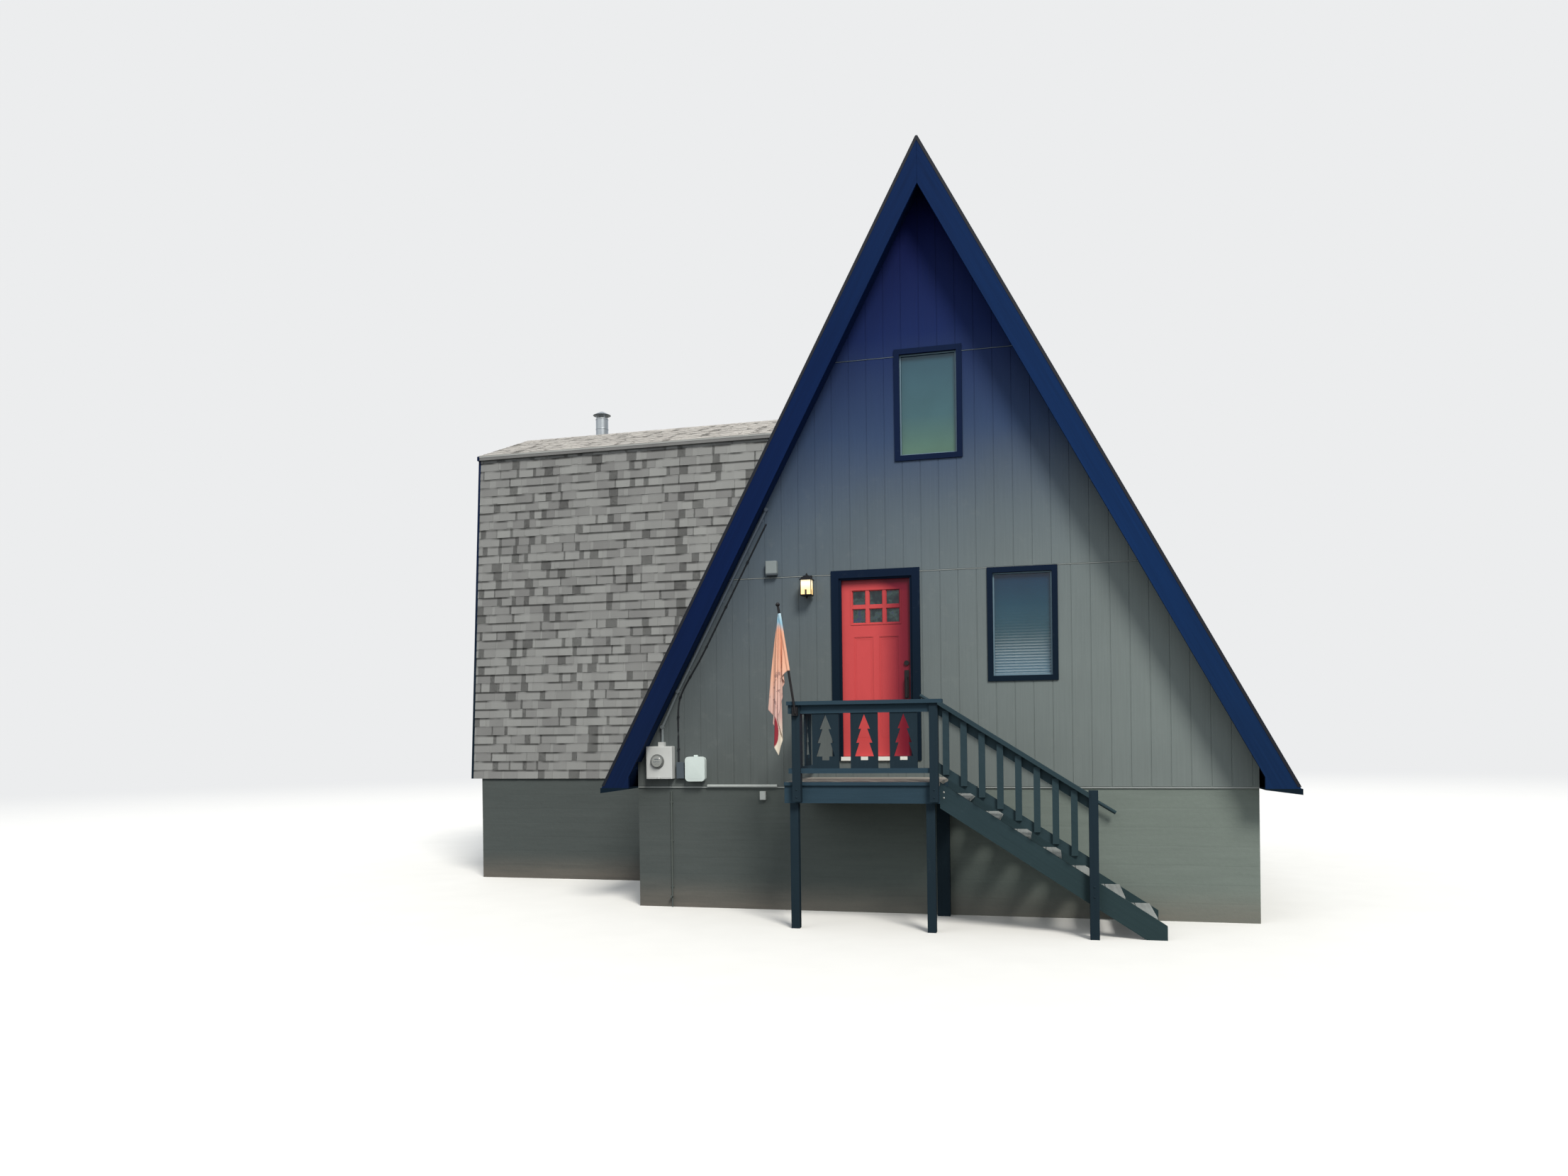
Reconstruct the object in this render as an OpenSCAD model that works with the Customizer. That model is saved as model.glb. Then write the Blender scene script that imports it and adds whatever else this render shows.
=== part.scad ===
// A-frame cabin on a raised block foundation, with a gambrel side wing, a front
// porch whose rail boards have pine-tree cut-outs, and a straight flight of steps.
// Millimetres. X runs right along the front, Y runs back and Z up. The origin is at
// the foot of the front foundation wall, in the middle of its length and thickness.

/* [House] */
// Width of the foundation and of the front wall at its foot
house_w = 6960; // [6400:10:7600]
// Depth of the foundation from front to back
house_d = 7920; // [7000:10:9600]
// Height of the block foundation
found_h = 1440; // [1200:10:1700]
// Thickness of the block walls
block_t = 200; // [150:5:240]
// Height of the floor platform that stands on the foundation
platform_h = 300; // [260:5:340]
// Thickness of a framed and sided gable wall
wall_t = 120; // [100:5:150]
// How far the siding stands out from the foundation
siding_out = 15; // [5:1:25]
// Height of the lower siding sheets, up to the joint over the door
sheet_h = 2440; // [2400:10:2500]
// Height of the loft floor above the main floor
loft_rise = 2640; // [2500:10:2700]
// Thickness of a floor's boards
board_t = 25; // [18:1:40]
// Depth of a floor's joists
joist_h = 235; // [180:5:240]
// Width of a joist
joist_t = 40; // [35:1:60]
// Spacing of the joists
joist_step = 610; // [400:10:800]

/* [Main roof] */
// Pitch of the two big slopes
roof_pitch = 62; // [60:0.5:64]
// Thickness of the roof, at right angles to the slope
roof_t = 190; // [170:5:210]
// Level distance from the wall to the roof's surface at the top of the foundation
eave_out = 330; // [300:5:380]
// How far the roof reaches past the front and back walls
rake_out = 320; // [250:5:450]
// Width of the rake boards
fascia_w = 235; // [210:5:260]
// Thickness of the rake boards
fascia_t = 38; // [25:1:45]
// How far the eave board stands out past the roof's tip
eave_lip = 25; // [10:1:40]
// Height of the eave board at its outer edge
eave_h = 62; // [45:1:80]
// Height of the eave board against the wall
eave_in_h = 14; // [10:1:30]
// Length of each leaf of the ridge cap, down the slope
cap_leaf = 150; // [100:5:200]
// Thickness of the ridge cap
cap_t = 8; // [5:1:12]

/* [Side wing] */
// Distance of the wing's end wall from the middle of the house
wing_x = 6720; // [6000:10:7400]
// Distance of the wing's ridge behind the front foundation wall's face
wing_y = 3830; // [3500:10:4300]
// Half the wing's depth over the roof, at the top of the foundation
wing_half = 1826; // [1700:5:1900]
// Lean of the wing's steep roof faces from upright
wing_lean = 4; // [2:0.5:6]
// Pitch of the wing's upper slopes
wing_pitch = 22; // [18:0.5:26]
// Height of the wing's ridge above the top of the foundation
wing_h = 5408; // [5000:10:5600]
// Thickness of the wing's roof
wing_t = 150; // [120:5:170]
// How far the upper slopes stand out over the steep faces
wing_lip = 55; // [30:5:90]
// Height of the upper slopes' edge
wing_edge = 60; // [45:5:80]
// How far the wing's roof reaches past its end wall
wing_rake = 150; // [100:5:220]
// How far the steep faces stand out from the wing's foundation
wing_drip = 20; // [10:1:40]
// Width of the wing's rake boards
wing_board_w = 140; // [120:5:150]
// Diameter of the flue
flue_d = 200; // [150:5:250]
// Distance of the flue from the middle of the house
flue_x = 5780; // [5400:10:6100]
// Distance of the flue behind the wing's ridge
flue_back = 560; // [450:10:700]
// Height of the flue above the wing's ridge
flue_up = 430; // [250:10:600]

/* [Windows] */
// Width between a window's trim boards
win_w = 640; // [560:5:700]
// Height between a window's trim boards
win_h = 1145; // [1000:5:1200]
// Width of the trim round a window
trim_w = 60; // [50:1:90]
// Thickness of the trim boards
trim_t = 20; // [15:1:30]
// Thickness of a window's jamb boards
jamb_t = 20; // [15:1:25]
// Width of the sash round the glass
sash_w = 18; // [14:1:45]
// Thickness of the sash
sash_t = 36; // [30:1:45]
// Thickness of the glass
glass_t = 6; // [4:1:10]
// Sideways place of the upper front window
upper_win_x = 58; // [-100:1:150]
// Height of the upper windows' clear head above the foundation
upper_head_up = 4898; // [4850:1:4950]
// Sideways place of the lower front window
lower_win_x = 1068; // [900:5:1200]

/* [Door] */
// Sideways place of the door's middle
door_x = -570; // [-700:5:-450]
// Width of the door slab
slab_w = 813; // [760:1:900]
// Height of the door slab
slab_h = 2032; // [1980:1:2060]
// Thickness of the door slab
slab_t = 44; // [38:1:50]
// Running clearance round the slab
door_gap = 5; // [5:0.5:7]
// Height of the threshold
threshold_h = 44; // [35:1:50]
// Width of the casing round the door
casing_w = 89; // [70:1:100]
// Height of the deadbolt above the foot of the slab
bolt_up = 1059; // [950:1:1150]
// Height of the middle of the door's grip above the foot of the slab
grip_up = 816; // [750:1:900]
// How far the slab's outer face lies behind the siding
slab_in = 45; // [35:1:60]
// Radius of a hinge pin
hinge_pin_r = 4; // [3:0.5:5]
// Running clearance of a hinge knuckle on its pin
hinge_fit = 0.3; // [0.1:0.1:0.5]

/* [Porch] */
// Distance of the porch posts' front faces from the siding
porch_d = 1185; // [1100:5:1350]
// Sideways place of the left porch post
post_left_x = -1243; // [-1300:1:-1150]
// Sideways place of the right porch post
post_right_x = 196; // [120:1:300]
// Side of a square post
post_w = 89; // [80:1:100]
// How far the lower posts stand to the left of the upper ones
post_shift = 48; // [0:1:60]
// Width of the post at the wall under the deck
wall_post_w = 140; // [89:1:150]
// How far the deck's frame reaches past the left post
frame_over = 107; // [20:1:150]
// How far the deck's front edge stands out over its frame
nosing = 22; // [5:1:30]
// Height of the porch deck above the foundation
deck_up = 110; // [60:5:150]
// Thickness of the deck
deck_t = 38; // [25:1:45]
// Height of the rim boards under the deck
rim_h = 184; // [140:2:200]
// Thickness of framing timber
timber_t = 38; // [35:1:45]
// Height of the cap rail's top above the deck
rail_up = 852; // [800:2:950]
// Width of the cap rail
cap_w = 140; // [120:2:150]
// Height of the rail under the cap
sub_h = 89; // [70:1:100]
// Height of the bottom rail above the deck
bottom_rail_up = 95; // [60:1:120]
// Height of the bottom rail
bottom_rail_h = 52; // [38:1:60]
// Width of a rail board
rail_board_w = 286; // [260:2:300]
// Thickness of a rail board
rail_board_t = 19; // [15:1:25]
// Boards in the front rail
front_boards = 3; // [2:1:3]
// Boards in the side rail
side_boards = 2; // [1:1:2]
// Height of a pine-tree cut-out with its trunk
tree_h = 480; // [400:5:500]
// Width of the tree's lowest tier
tree_w = 199; // [160:1:220]
// Width of the tree's trunk
trunk_w = 78; // [50:1:100]
// Height of the tree's trunk
trunk_h = 40; // [20:1:60]

/* [Steps] */
// Number of risers from the ground to the deck
risers = 8; // [8:1:9]
// Level length of a step
run = 302; // [270:1:330]
// Thickness of a tread
tread_t = 38; // [30:1:45]
// Width of the flight between its stringers
flight_w = 900; // [800:5:950]
// Depth of a stringer board, at right angles to the flight
stringer_w = 224; // [190:2:240]
// How far the stringers reach past the last step
stringer_over = 80; // [20:5:120]
// How far the treads lie above even steps
tread_up = 22; // [0:1:30]
// Sideways place of the lower newel post
newel_x = 1755; // [1650:5:1850]
// How far the newel post stands above the step rail's end
newel_over = 23; // [10:1:60]
// Number of balusters
balusters = 8; // [6:1:9]
// Width of a baluster
baluster_w = 64; // [38:1:70]
// How far a baluster hangs below the bottom rail's upper edge
baluster_hang = 70; // [40:1:100]
// Diameter of the round rail on the wall
wall_rail_d = 40; // [32:1:45]
// Thickness of a porch or step rail's cap
cap_rail_t = 40; // [30:1:45]

/* [Fixtures] */
// Sideways place of the lantern
lantern_x = -1345; // [-1400:5:-1250]
// Height of the lantern's middle above the foundation
lantern_z = 2313; // [2200:5:2400]
// Sideways place of the meter box
meter_x = -3170; // [-3170:5:-3100]
// Height of the meter box's middle above the foundation
meter_z = 290; // [260:5:320]
// Width of the meter box
meter_w = 326; // [280:1:340]
// Height of the meter box
meter_h = 388; // [340:1:420]
// Diameter of the meter
dial_d = 165; // [140:1:180]
// Sideways place of the telephone box
phone_x = -2730; // [-2760:5:-2650]
// Height of the telephone box's middle above the foundation
phone_up = 212; // [200:1:230]
// Width of the telephone box
phone_w = 244; // [220:1:290]
// Height of the telephone box
phone_h = 292; // [280:1:330]
// Height of the small boxes' feet above the foundation
link_up = 98; // [80:1:120]
// Height of the upper box's foot above the foundation
upper_box_up = 2458; // [2400:1:2500]
// Sideways place of the earth wire's pipe
earth_x = -3060; // [-3100:5:-3000]
// Diameter of the conduits
conduit_d = 34; // [25:1:42]
// Height of the conduit's bend above the meter box
conduit_rise = 600; // [400:10:800]
// Height of the conduit's upper end above the siding joint
conduit_over = 796; // [600:10:900]
// Distance of the conduit from the soffit
conduit_in = 38; // [25:1:60]
// Height of the hanging flag
flag_drop = 1500; // [1300:10:1550]
// Width of the hanging flag
flag_w = 210; // [150:5:260]
// Length of the flag pole
pole_l = 1150; // [1000:5:1200]
// Lean of the flag pole from upright
pole_lean = 8.7; // [6:0.1:10]

/* [Hidden] */
$fn = 24;

// Levels and faces
half_w = house_w / 2;
face_y = -block_t / 2;
wall_y = face_y - siding_out;
back_y = face_y + house_d;
back_wall_y = back_y + siding_out;
floor_z = found_h + platform_h;
joint_z = found_h + sheet_h;
loft_z = floor_z + loft_rise;
loft_under = loft_z - board_t - joist_h;
rake_y = wall_y - rake_out;
back_rake_y = back_wall_y + rake_out;
eps = 1;
seat = 0.2;
far = 20000;

// Level half width of the main roof at height z, for a face off below its surface
function roof_run(z, off) =
    half_w + eave_out - (z - found_h) / tan(roof_pitch) - off / sin(roof_pitch);
// Height of the main ridge, for a face off below the roof's surface
function ridge_z(off) = found_h + (half_w + eave_out - off / sin(roof_pitch)) * tan(roof_pitch);
// Height at which such a face passes over the line x
function slope_z(x, off) = ridge_z(off) - x * tan(roof_pitch);

// Wing section: level half depth of a steep face, and height of an upper slope
wing_mid = face_y + wing_y;
wing_top = found_h + wing_h;
function steep_q(z, off) = wing_half - (z - found_h) * tan(wing_lean) - off / cos(wing_lean);
break_q = (wing_half - wing_h * tan(wing_lean)) / (1 - tan(wing_pitch) * tan(wing_lean));
edge_q = break_q + wing_lip;
edge_z = wing_top - edge_q * tan(wing_pitch);
plate_z = edge_z - wing_edge;
wing_inner_top = wing_top - wing_t / cos(wing_pitch);
wing_fq = wing_half - wing_drip;
wing_end_face = -wing_x - siding_out;
wing_rake_x = wing_end_face - wing_rake;

// Door
slab_x = door_x - slab_w / 2;
slab_z = floor_z + threshold_h + door_gap;
slab_y = wall_y + slab_in;
slab_back = slab_y + slab_t;
bolt_z = slab_z + bolt_up;
grip_z = slab_z + grip_up;
head_z = slab_z + slab_h + door_gap;
door_hole = slab_w / 2 + door_gap + jamb_t;
stop_w = door_gap + 12;
reveal = 8;
pin_x = slab_x - door_gap / 2;
pin_y = slab_back + 8;
hinge_h = 100;
hinge_places = [180, 960, 1750];
leaf_t = 2.2;
leaf_w = 38;
knuckle_r = 7;

// Porch and steps
post_y = wall_y - porch_d;
rim_y = post_y + post_w;
deck_z = found_h + deck_up;
porch_x0 = post_left_x - post_w / 2 - frame_over;
porch_x1 = post_right_x + post_w / 2 + 6;
rail_z = deck_z + rail_up;
sub_z = rail_z - cap_rail_t - sub_h;
bottom_z = deck_z + bottom_rail_up;
rail_mid_y = post_y + post_w / 2;
cap_end_x = porch_x1 + 38;
cap_x0 = post_left_x - post_w / 2 - 50;
side_x = post_left_x - post_w / 2 - timber_t / 2;
riser = deck_z / risers;
step_slope = riser / run;
step_angle = atan(step_slope);
stringer_y = rim_y;
tread_y = stringer_y + timber_t;
far_stringer_y = tread_y + flight_w;
post_face_x = post_right_x + post_w / 2;
newel_face_x = newel_x - post_w / 2;
cap_under = rail_z - cap_rail_t;
step_rail_top = cap_under + (cap_end_x - post_face_x) * step_slope;
newel_h = step_rail_top - (newel_face_x - post_face_x) * step_slope + newel_over;

// Front window and door openings through the walls
hole_w = win_w + 2 * jamb_t;
hole_h = win_h + 2 * jamb_t;

// Sweep an outline drawn in x and z along Y, or one drawn in y and z along X
module along_y(y0, y1) translate([0, y1, 0]) rotate([90, 0, 0]) linear_extrude(y1 - y0) children();
module along_x(x0, x1) translate([x0, 0, 0]) rotate([90, 0, 90]) linear_extrude(x1 - x0) children();
module block(x0, x1, y0, y1, z0, z1) translate([x0, y0, z0]) cube([x1 - x0, y1 - y0, z1 - z0]);
module both_sides() { children(); mirror([1, 0, 0]) children(); }

// Foundation
module block_wall(x0, x1, y0, y1) color([0.36, 0.38, 0.37]) block(x0, x1, y0, y1, 0, found_h);
module foundation_front() block_wall(-half_w, half_w, face_y, face_y + block_t);
module foundation_back() block_wall(-half_w, half_w, back_y - block_t, back_y);
module foundation_sides() both_sides()
    block_wall(half_w - block_t, half_w, face_y + block_t, back_y - block_t);
module wing_foundation_sides() {
    block_wall(-wing_x, -half_w, wing_mid - wing_fq, wing_mid - wing_fq + block_t);
    block_wall(-wing_x, -half_w, wing_mid + wing_fq - block_t, wing_mid + wing_fq);
}
module wing_foundation_end()
    block_wall(-wing_x, -wing_x + block_t, wing_mid - wing_fq + block_t, wing_mid + wing_fq - block_t);

// Light flashing under the foot of the front siding
module sill_flashing() color([0.75, 0.75, 0.73])
    block(-half_w, half_w, wall_y, face_y, found_h - 14, found_h);

// Floors: boards on joists that run across the house, with a rim board at each end
module joists(x0, x1, y0, y1, z0, z1) {
    block(x0, x1, y0, y1, z1 - board_t, z1);
    count = floor((y1 - y0 - joist_t) / joist_step);
    for (i = [0:count])
        block(x0, x1, y0 + i * joist_step, y0 + i * joist_step + joist_t, z0, z1 - board_t + eps);
    block(x0, x1, y1 - joist_t, y1, z0, z1 - board_t + eps);
    block(x0, x0 + joist_t, y0, y1, z0, z1 - board_t + eps);
    block(x1 - joist_t, x1, y0, y1, z0, z1 - board_t + eps);
}
module main_floor() color([0.62, 0.5, 0.35])
    joists(-half_w, half_w, wall_y + wall_t, back_wall_y - wall_t, found_h, floor_z);
module loft_floor() color([0.62, 0.5, 0.35]) intersection() {
    joists(-roof_run(loft_under, roof_t), roof_run(loft_under, roof_t), wall_y + wall_t,
           back_wall_y - wall_t, loft_under, loft_z);
    along_y(0, back_y) main_inside();
}
module wing_floor() color([0.62, 0.5, 0.35])
    joists(wing_end_face + wall_t, -half_w, wing_mid - steep_q(floor_z, wing_t),
           wing_mid + steep_q(floor_z, wing_t), found_h, floor_z);
module wing_loft_floor() color([0.62, 0.5, 0.35]) difference() {
    joists(wing_end_face + wall_t, -roof_run(loft_z, roof_t),
           wing_mid - steep_q(loft_z, wing_t), wing_mid + steep_q(loft_z, wing_t),
           loft_under, loft_z);
    along_y(0, back_y) main_inside();
}

// Gable walls of the main house
siding_colour = [0.36, 0.38, 0.37];
module main_inside() polygon([
    [-roof_run(floor_z, roof_t), floor_z], [roof_run(floor_z, roof_t), floor_z], [0, ridge_z(roof_t)]]);
module lower_wall_outline() polygon([
    [-half_w, found_h], [half_w, found_h], [half_w, floor_z], [roof_run(floor_z, roof_t), floor_z],
    [roof_run(joint_z, roof_t), joint_z], [-roof_run(joint_z, roof_t), joint_z],
    [-roof_run(floor_z, roof_t), floor_z], [-half_w, floor_z]]);
module upper_wall_outline() polygon([
    [-roof_run(joint_z, roof_t), joint_z], [roof_run(joint_z, roof_t), joint_z], [0, ridge_z(roof_t)]]);
module window_hole(x, z) translate([x - hole_w / 2, z - jamb_t]) square([hole_w, hole_h]);
lower_sill = joint_z - trim_w - win_h;
upper_sill = found_h + upper_head_up - win_h;
wing_upper_sill = wing_inner_top - hole_w * tan(wing_pitch) - win_h - 2 * trim_w;
module front_wall_left() color(siding_colour) along_y(wall_y, wall_y + wall_t) intersection() {
    lower_wall_outline();
    translate([-far, 0]) square([far + door_x - door_hole, far]);
}
module front_wall_right() color(siding_colour) along_y(wall_y, wall_y + wall_t) difference() {
    lower_wall_outline();
    translate([-far, 0]) square([far + door_x + door_hole, far]);
    window_hole(lower_win_x, lower_sill);
}
module front_wall_under_door() color(siding_colour)
    block(door_x - door_hole, door_x + door_hole, wall_y, wall_y + wall_t, found_h, floor_z);
module front_wall_gable() color(siding_colour) along_y(wall_y, wall_y + wall_t) difference() {
    upper_wall_outline();
    window_hole(upper_win_x, upper_sill);
}
module back_wall_lower() color(siding_colour)
    along_y(back_wall_y - wall_t, back_wall_y) difference() {
        lower_wall_outline();
        for (side = [-1, 1]) window_hole(side * lower_win_x, lower_sill);
    }
module back_wall_gable() color(siding_colour)
    along_y(back_wall_y - wall_t, back_wall_y) difference() {
        upper_wall_outline();
        window_hole(0, upper_sill);
    }

// Wing end wall, drawn in y and z about the wing's middle
module wing_inside() polygon([
    [-steep_q(found_h, wing_t), found_h], [steep_q(found_h, wing_t), found_h],
    [steep_q(plate_z, wing_t), plate_z], [0, wing_inner_top], [-steep_q(plate_z, wing_t), plate_z]]);
module wing_wall(z0, z1, sill) color(siding_colour) translate([0, wing_mid, 0])
    along_x(wing_end_face, wing_end_face + wall_t) difference() {
        intersection() {
            wing_inside();
            translate([-far / 2, z0]) square([far, z1 - z0]);
        }
        window_hole(0, sill);
    }
module wing_wall_lower() wing_wall(found_h, joint_z, lower_sill);
module wing_wall_upper() wing_wall(joint_z, wing_top, wing_upper_sill);

// Main roof: one slope with its feet cut level and notched over the floor platform
shingle_colour = [0.42, 0.4, 0.38];
trim_colour = [0.07, 0.09, 0.15];
module slope_outline() polygon([
    [0, ridge_z(0)], [roof_run(found_h, 0), found_h], [roof_run(found_h, roof_t), found_h],
    [half_w, slope_z(half_w, roof_t)], [half_w, floor_z], [roof_run(floor_z, roof_t), floor_z],
    [0, ridge_z(roof_t)]]);
roof_y0 = rake_y + fascia_t;
roof_y1 = back_rake_y - fascia_t;
module roof_right() color(shingle_colour) along_y(roof_y0, roof_y1) slope_outline();
module roof_left() color(shingle_colour) difference() {
    along_y(roof_y0, roof_y1) mirror([1, 0]) slope_outline();
    translate([0, wing_mid, 0]) along_x(-far / 2, 0) wing_inside();
}
module ridge_cap() color([0.3, 0.29, 0.28]) along_y(roof_y0, roof_y1) polygon([
    [0, ridge_z(0)], [cap_leaf * cos(roof_pitch), slope_z(cap_leaf * cos(roof_pitch), 0)],
    [cap_leaf * cos(roof_pitch), slope_z(cap_leaf * cos(roof_pitch), -cap_t)],
    [0, ridge_z(-cap_t)],
    [-cap_leaf * cos(roof_pitch), slope_z(cap_leaf * cos(roof_pitch), -cap_t)],
    [-cap_leaf * cos(roof_pitch), slope_z(cap_leaf * cos(roof_pitch), 0)]]);

// Rake boards meet in a plumb joint at the top and close the eave's end at the foot
rake_joint = 1;
module rake_board() polygon([
    [rake_joint, slope_z(rake_joint, -cap_t)], [roof_run(found_h, -cap_t), found_h],
    [half_w, found_h], [half_w, slope_z(half_w, fascia_w)], [rake_joint, slope_z(rake_joint, fascia_w)]]);
module front_rake_boards() color(trim_colour)
    both_sides() along_y(rake_y, rake_y + fascia_t) rake_board();
module back_rake_boards() color(trim_colour)
    both_sides() along_y(back_rake_y - fascia_t, back_rake_y) rake_board();

// Eave boards close the roof's foot and carry the drip edge
module eave_outline() polygon([
    [half_w, found_h], [roof_run(found_h, 0) + eave_lip, found_h],
    [roof_run(found_h, 0) + eave_lip, found_h - eave_h], [half_w, found_h - eave_in_h]]);
module eave_boards() color(trim_colour) {
    along_y(rake_y, back_rake_y) eave_outline();
    mirror([1, 0, 0]) {
        along_y(rake_y, wing_mid - wing_half) eave_outline();
        along_y(wing_mid + wing_half, back_rake_y) eave_outline();
    }
}

// Wing roof, cut where it runs into the main slope
module wing_sweep() difference() {
    translate([0, wing_mid, 0]) along_x(wing_rake_x + fascia_t, 0) children();
    along_y(0, back_y) polygon([[-roof_run(0, -seat), 0], [0, ridge_z(-seat)],
                                [far, ridge_z(-seat)], [far, 0]]);
}
module steep_outline() polygon([
    [-steep_q(found_h, 0), found_h], [-steep_q(plate_z, 0), plate_z],
    [-steep_q(plate_z, wing_t), plate_z], [-steep_q(found_h, wing_t), found_h]]);
module upper_outline() polygon([
    [0, wing_top], [-edge_q, edge_z], [-edge_q, plate_z],
    [-steep_q(plate_z, wing_t), plate_z], [0, wing_inner_top]]);
module wing_roof_front() color(shingle_colour) wing_sweep() steep_outline();
module wing_roof_back() color(shingle_colour) wing_sweep() mirror([1, 0]) steep_outline();
module wing_upper_front() color(shingle_colour) wing_sweep() upper_outline();
module wing_upper_back() color(shingle_colour) wing_sweep() mirror([1, 0]) upper_outline();
module wing_ridge_cap() color([0.3, 0.29, 0.28]) wing_sweep() polygon([
    [-cap_leaf, wing_top - cap_leaf * tan(wing_pitch)], [0, wing_top],
    [cap_leaf, wing_top - cap_leaf * tan(wing_pitch)],
    [cap_leaf, wing_top - cap_leaf * tan(wing_pitch) + cap_t], [0, wing_top + cap_t],
    [-cap_leaf, wing_top - cap_leaf * tan(wing_pitch) + cap_t]]);
module wing_rake_half() polygon([
    [0, wing_top], [edge_q, edge_z], [edge_q, plate_z], [steep_q(plate_z, 0), plate_z],
    [steep_q(found_h, 0), found_h], [steep_q(found_h, wing_board_w), found_h],
    [steep_q(plate_z, wing_board_w), plate_z], [0, wing_top - wing_board_w / cos(wing_pitch)]]);
module wing_rake_boards() color(trim_colour) translate([0, wing_mid, 0])
    along_x(wing_rake_x, wing_rake_x + fascia_t) { wing_rake_half(); mirror([1, 0]) wing_rake_half(); }

// Flue with a storm collar and a rain cap
flue_base = wing_top - flue_back * tan(wing_pitch) + seat;
flue_top = wing_top + flue_up;
module flue() color([0.6, 0.62, 0.63]) translate([-flue_x, wing_mid + flue_back, 0]) {
    difference() {
        translate([0, 0, flue_base - flue_d]) cylinder(d = flue_d, h = flue_top - flue_base + flue_d);
        translate([-flue_d, 0, 0]) rotate([90, 0, 90]) linear_extrude(2 * flue_d)
            polygon([[-flue_d, flue_base + flue_d * tan(wing_pitch)],
                     [flue_d, flue_base - flue_d * tan(wing_pitch)], [flue_d, 0], [-flue_d, 0]]);
        translate([0, 0, flue_top - 150]) cylinder(d = flue_d - 20, h = 200);
    }
    for (a = [45:90:315]) rotate(a)
        translate([flue_d / 2 - 9, -8, flue_top - 100]) cube([5, 16, 160]);
    translate([0, 0, flue_top + 55]) cylinder(d1 = flue_d + 90, d2 = 60, h = 60, $fn = 32);
    translate([0, 0, flue_base + 120]) cylinder(d1 = flue_d + 70, d2 = flue_d, h = 40, $fn = 32);
}

// One window: jamb boards through the wall, trim outside and a sash for the glass
module ring(w, h, rim_x, rim_z) difference() {
    square([w, h], center = true);
    square([w - 2 * rim_x, h - 2 * rim_z], center = true);
}
module window(x, z) translate([x, 0, z + win_h / 2]) {
    along_y(0, wall_t) ring(hole_w, hole_h, jamb_t, jamb_t);
    along_y(-trim_t, 0) ring(win_w + 2 * trim_w, win_h + 2 * trim_w, trim_w, trim_w);
    along_y(trim_t, trim_t + sash_t) ring(win_w + eps, win_h + eps, sash_w, sash_w);
}
module pane(x, z) translate([x, trim_t + (sash_t - glass_t) / 2, z + win_h / 2])
    along_y(0, glass_t) square([win_w - 2 * sash_w, win_h - 2 * sash_w], center = true);
module at_front() translate([0, wall_y, 0]) children();
module at_back() translate([0, back_wall_y, 0]) rotate(180) children();
module at_wing() translate([wing_end_face, wing_mid, 0]) rotate(-90) children();
module front_windows() color(trim_colour) at_front() {
    window(upper_win_x, upper_sill);
    window(lower_win_x, lower_sill);
}
module rear_windows() color(trim_colour) {
    at_back() {
        window(0, upper_sill);
        for (side = [-1, 1]) window(side * lower_win_x, lower_sill);
    }
    at_wing() {
        window(0, wing_upper_sill);
        window(0, lower_sill);
    }
}
module window_glass() color([0.5, 0.55, 0.6, 0.5]) {
    at_front() {
        pane(upper_win_x, upper_sill);
        pane(lower_win_x, lower_sill);
    }
    at_back() {
        pane(0, upper_sill);
        for (side = [-1, 1]) pane(side * lower_win_x, lower_sill);
    }
    at_wing() {
        pane(0, wing_upper_sill);
        pane(0, lower_sill);
    }
}
blind_y = trim_t + sash_t + 12;
module blind(x, z) translate([x, blind_y, z]) {
    translate([-win_w / 2, 0, win_h - 35]) cube([win_w, 30, 35]);
    translate([-win_w / 2 + 6, 12, 30]) cube([win_w - 12, 4, win_h - 60]);
    translate([-win_w / 2 + 6, 2, 12]) cube([win_w - 12, 24, 20]);
}
module window_blinds() color([0.85, 0.85, 0.84]) {
    at_front() {
        blind(upper_win_x, upper_sill);
        blind(lower_win_x, lower_sill);
    }
    at_back() {
        blind(0, upper_sill);
        for (side = [-1, 1]) blind(side * lower_win_x, lower_sill);
    }
    at_wing() {
        blind(0, wing_upper_sill);
        blind(0, lower_sill);
    }
}

// Front door: casing, jambs with stops, and a head that fills up to the sheet joint
module door_side() {
    block(slab_w / 2 + door_gap, door_hole, wall_y, slab_back, floor_z, joint_z);
    block(slab_w / 2 + door_gap - stop_w, slab_w / 2 + door_gap + eps, wall_y, slab_y - door_gap,
          floor_z + threshold_h, joint_z);
    block(slab_w / 2 + door_gap + reveal, slab_w / 2 + door_gap + reveal + casing_w,
          wall_y - trim_t, wall_y, floor_z, head_z + reveal + casing_w);
}
module door_frame() color(trim_colour) translate([door_x, 0, 0]) {
    both_sides() door_side();
    block(-door_hole, door_hole, wall_y, slab_back, head_z, joint_z);
    block(-slab_w / 2, slab_w / 2, wall_y, slab_y - door_gap, head_z + door_gap - stop_w, head_z + eps);
    block(-slab_w / 2 - casing_w, slab_w / 2 + casing_w, wall_y - trim_t, wall_y,
          head_z + reveal, head_z + reveal + casing_w);
}
module door_threshold() color([0.85, 0.85, 0.83]) translate([door_x, 0, 0])
    block(-slab_w / 2 - door_gap, slab_w / 2 + door_gap, wall_y - 30, slab_back,
          floor_z, floor_z + threshold_h);
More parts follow.
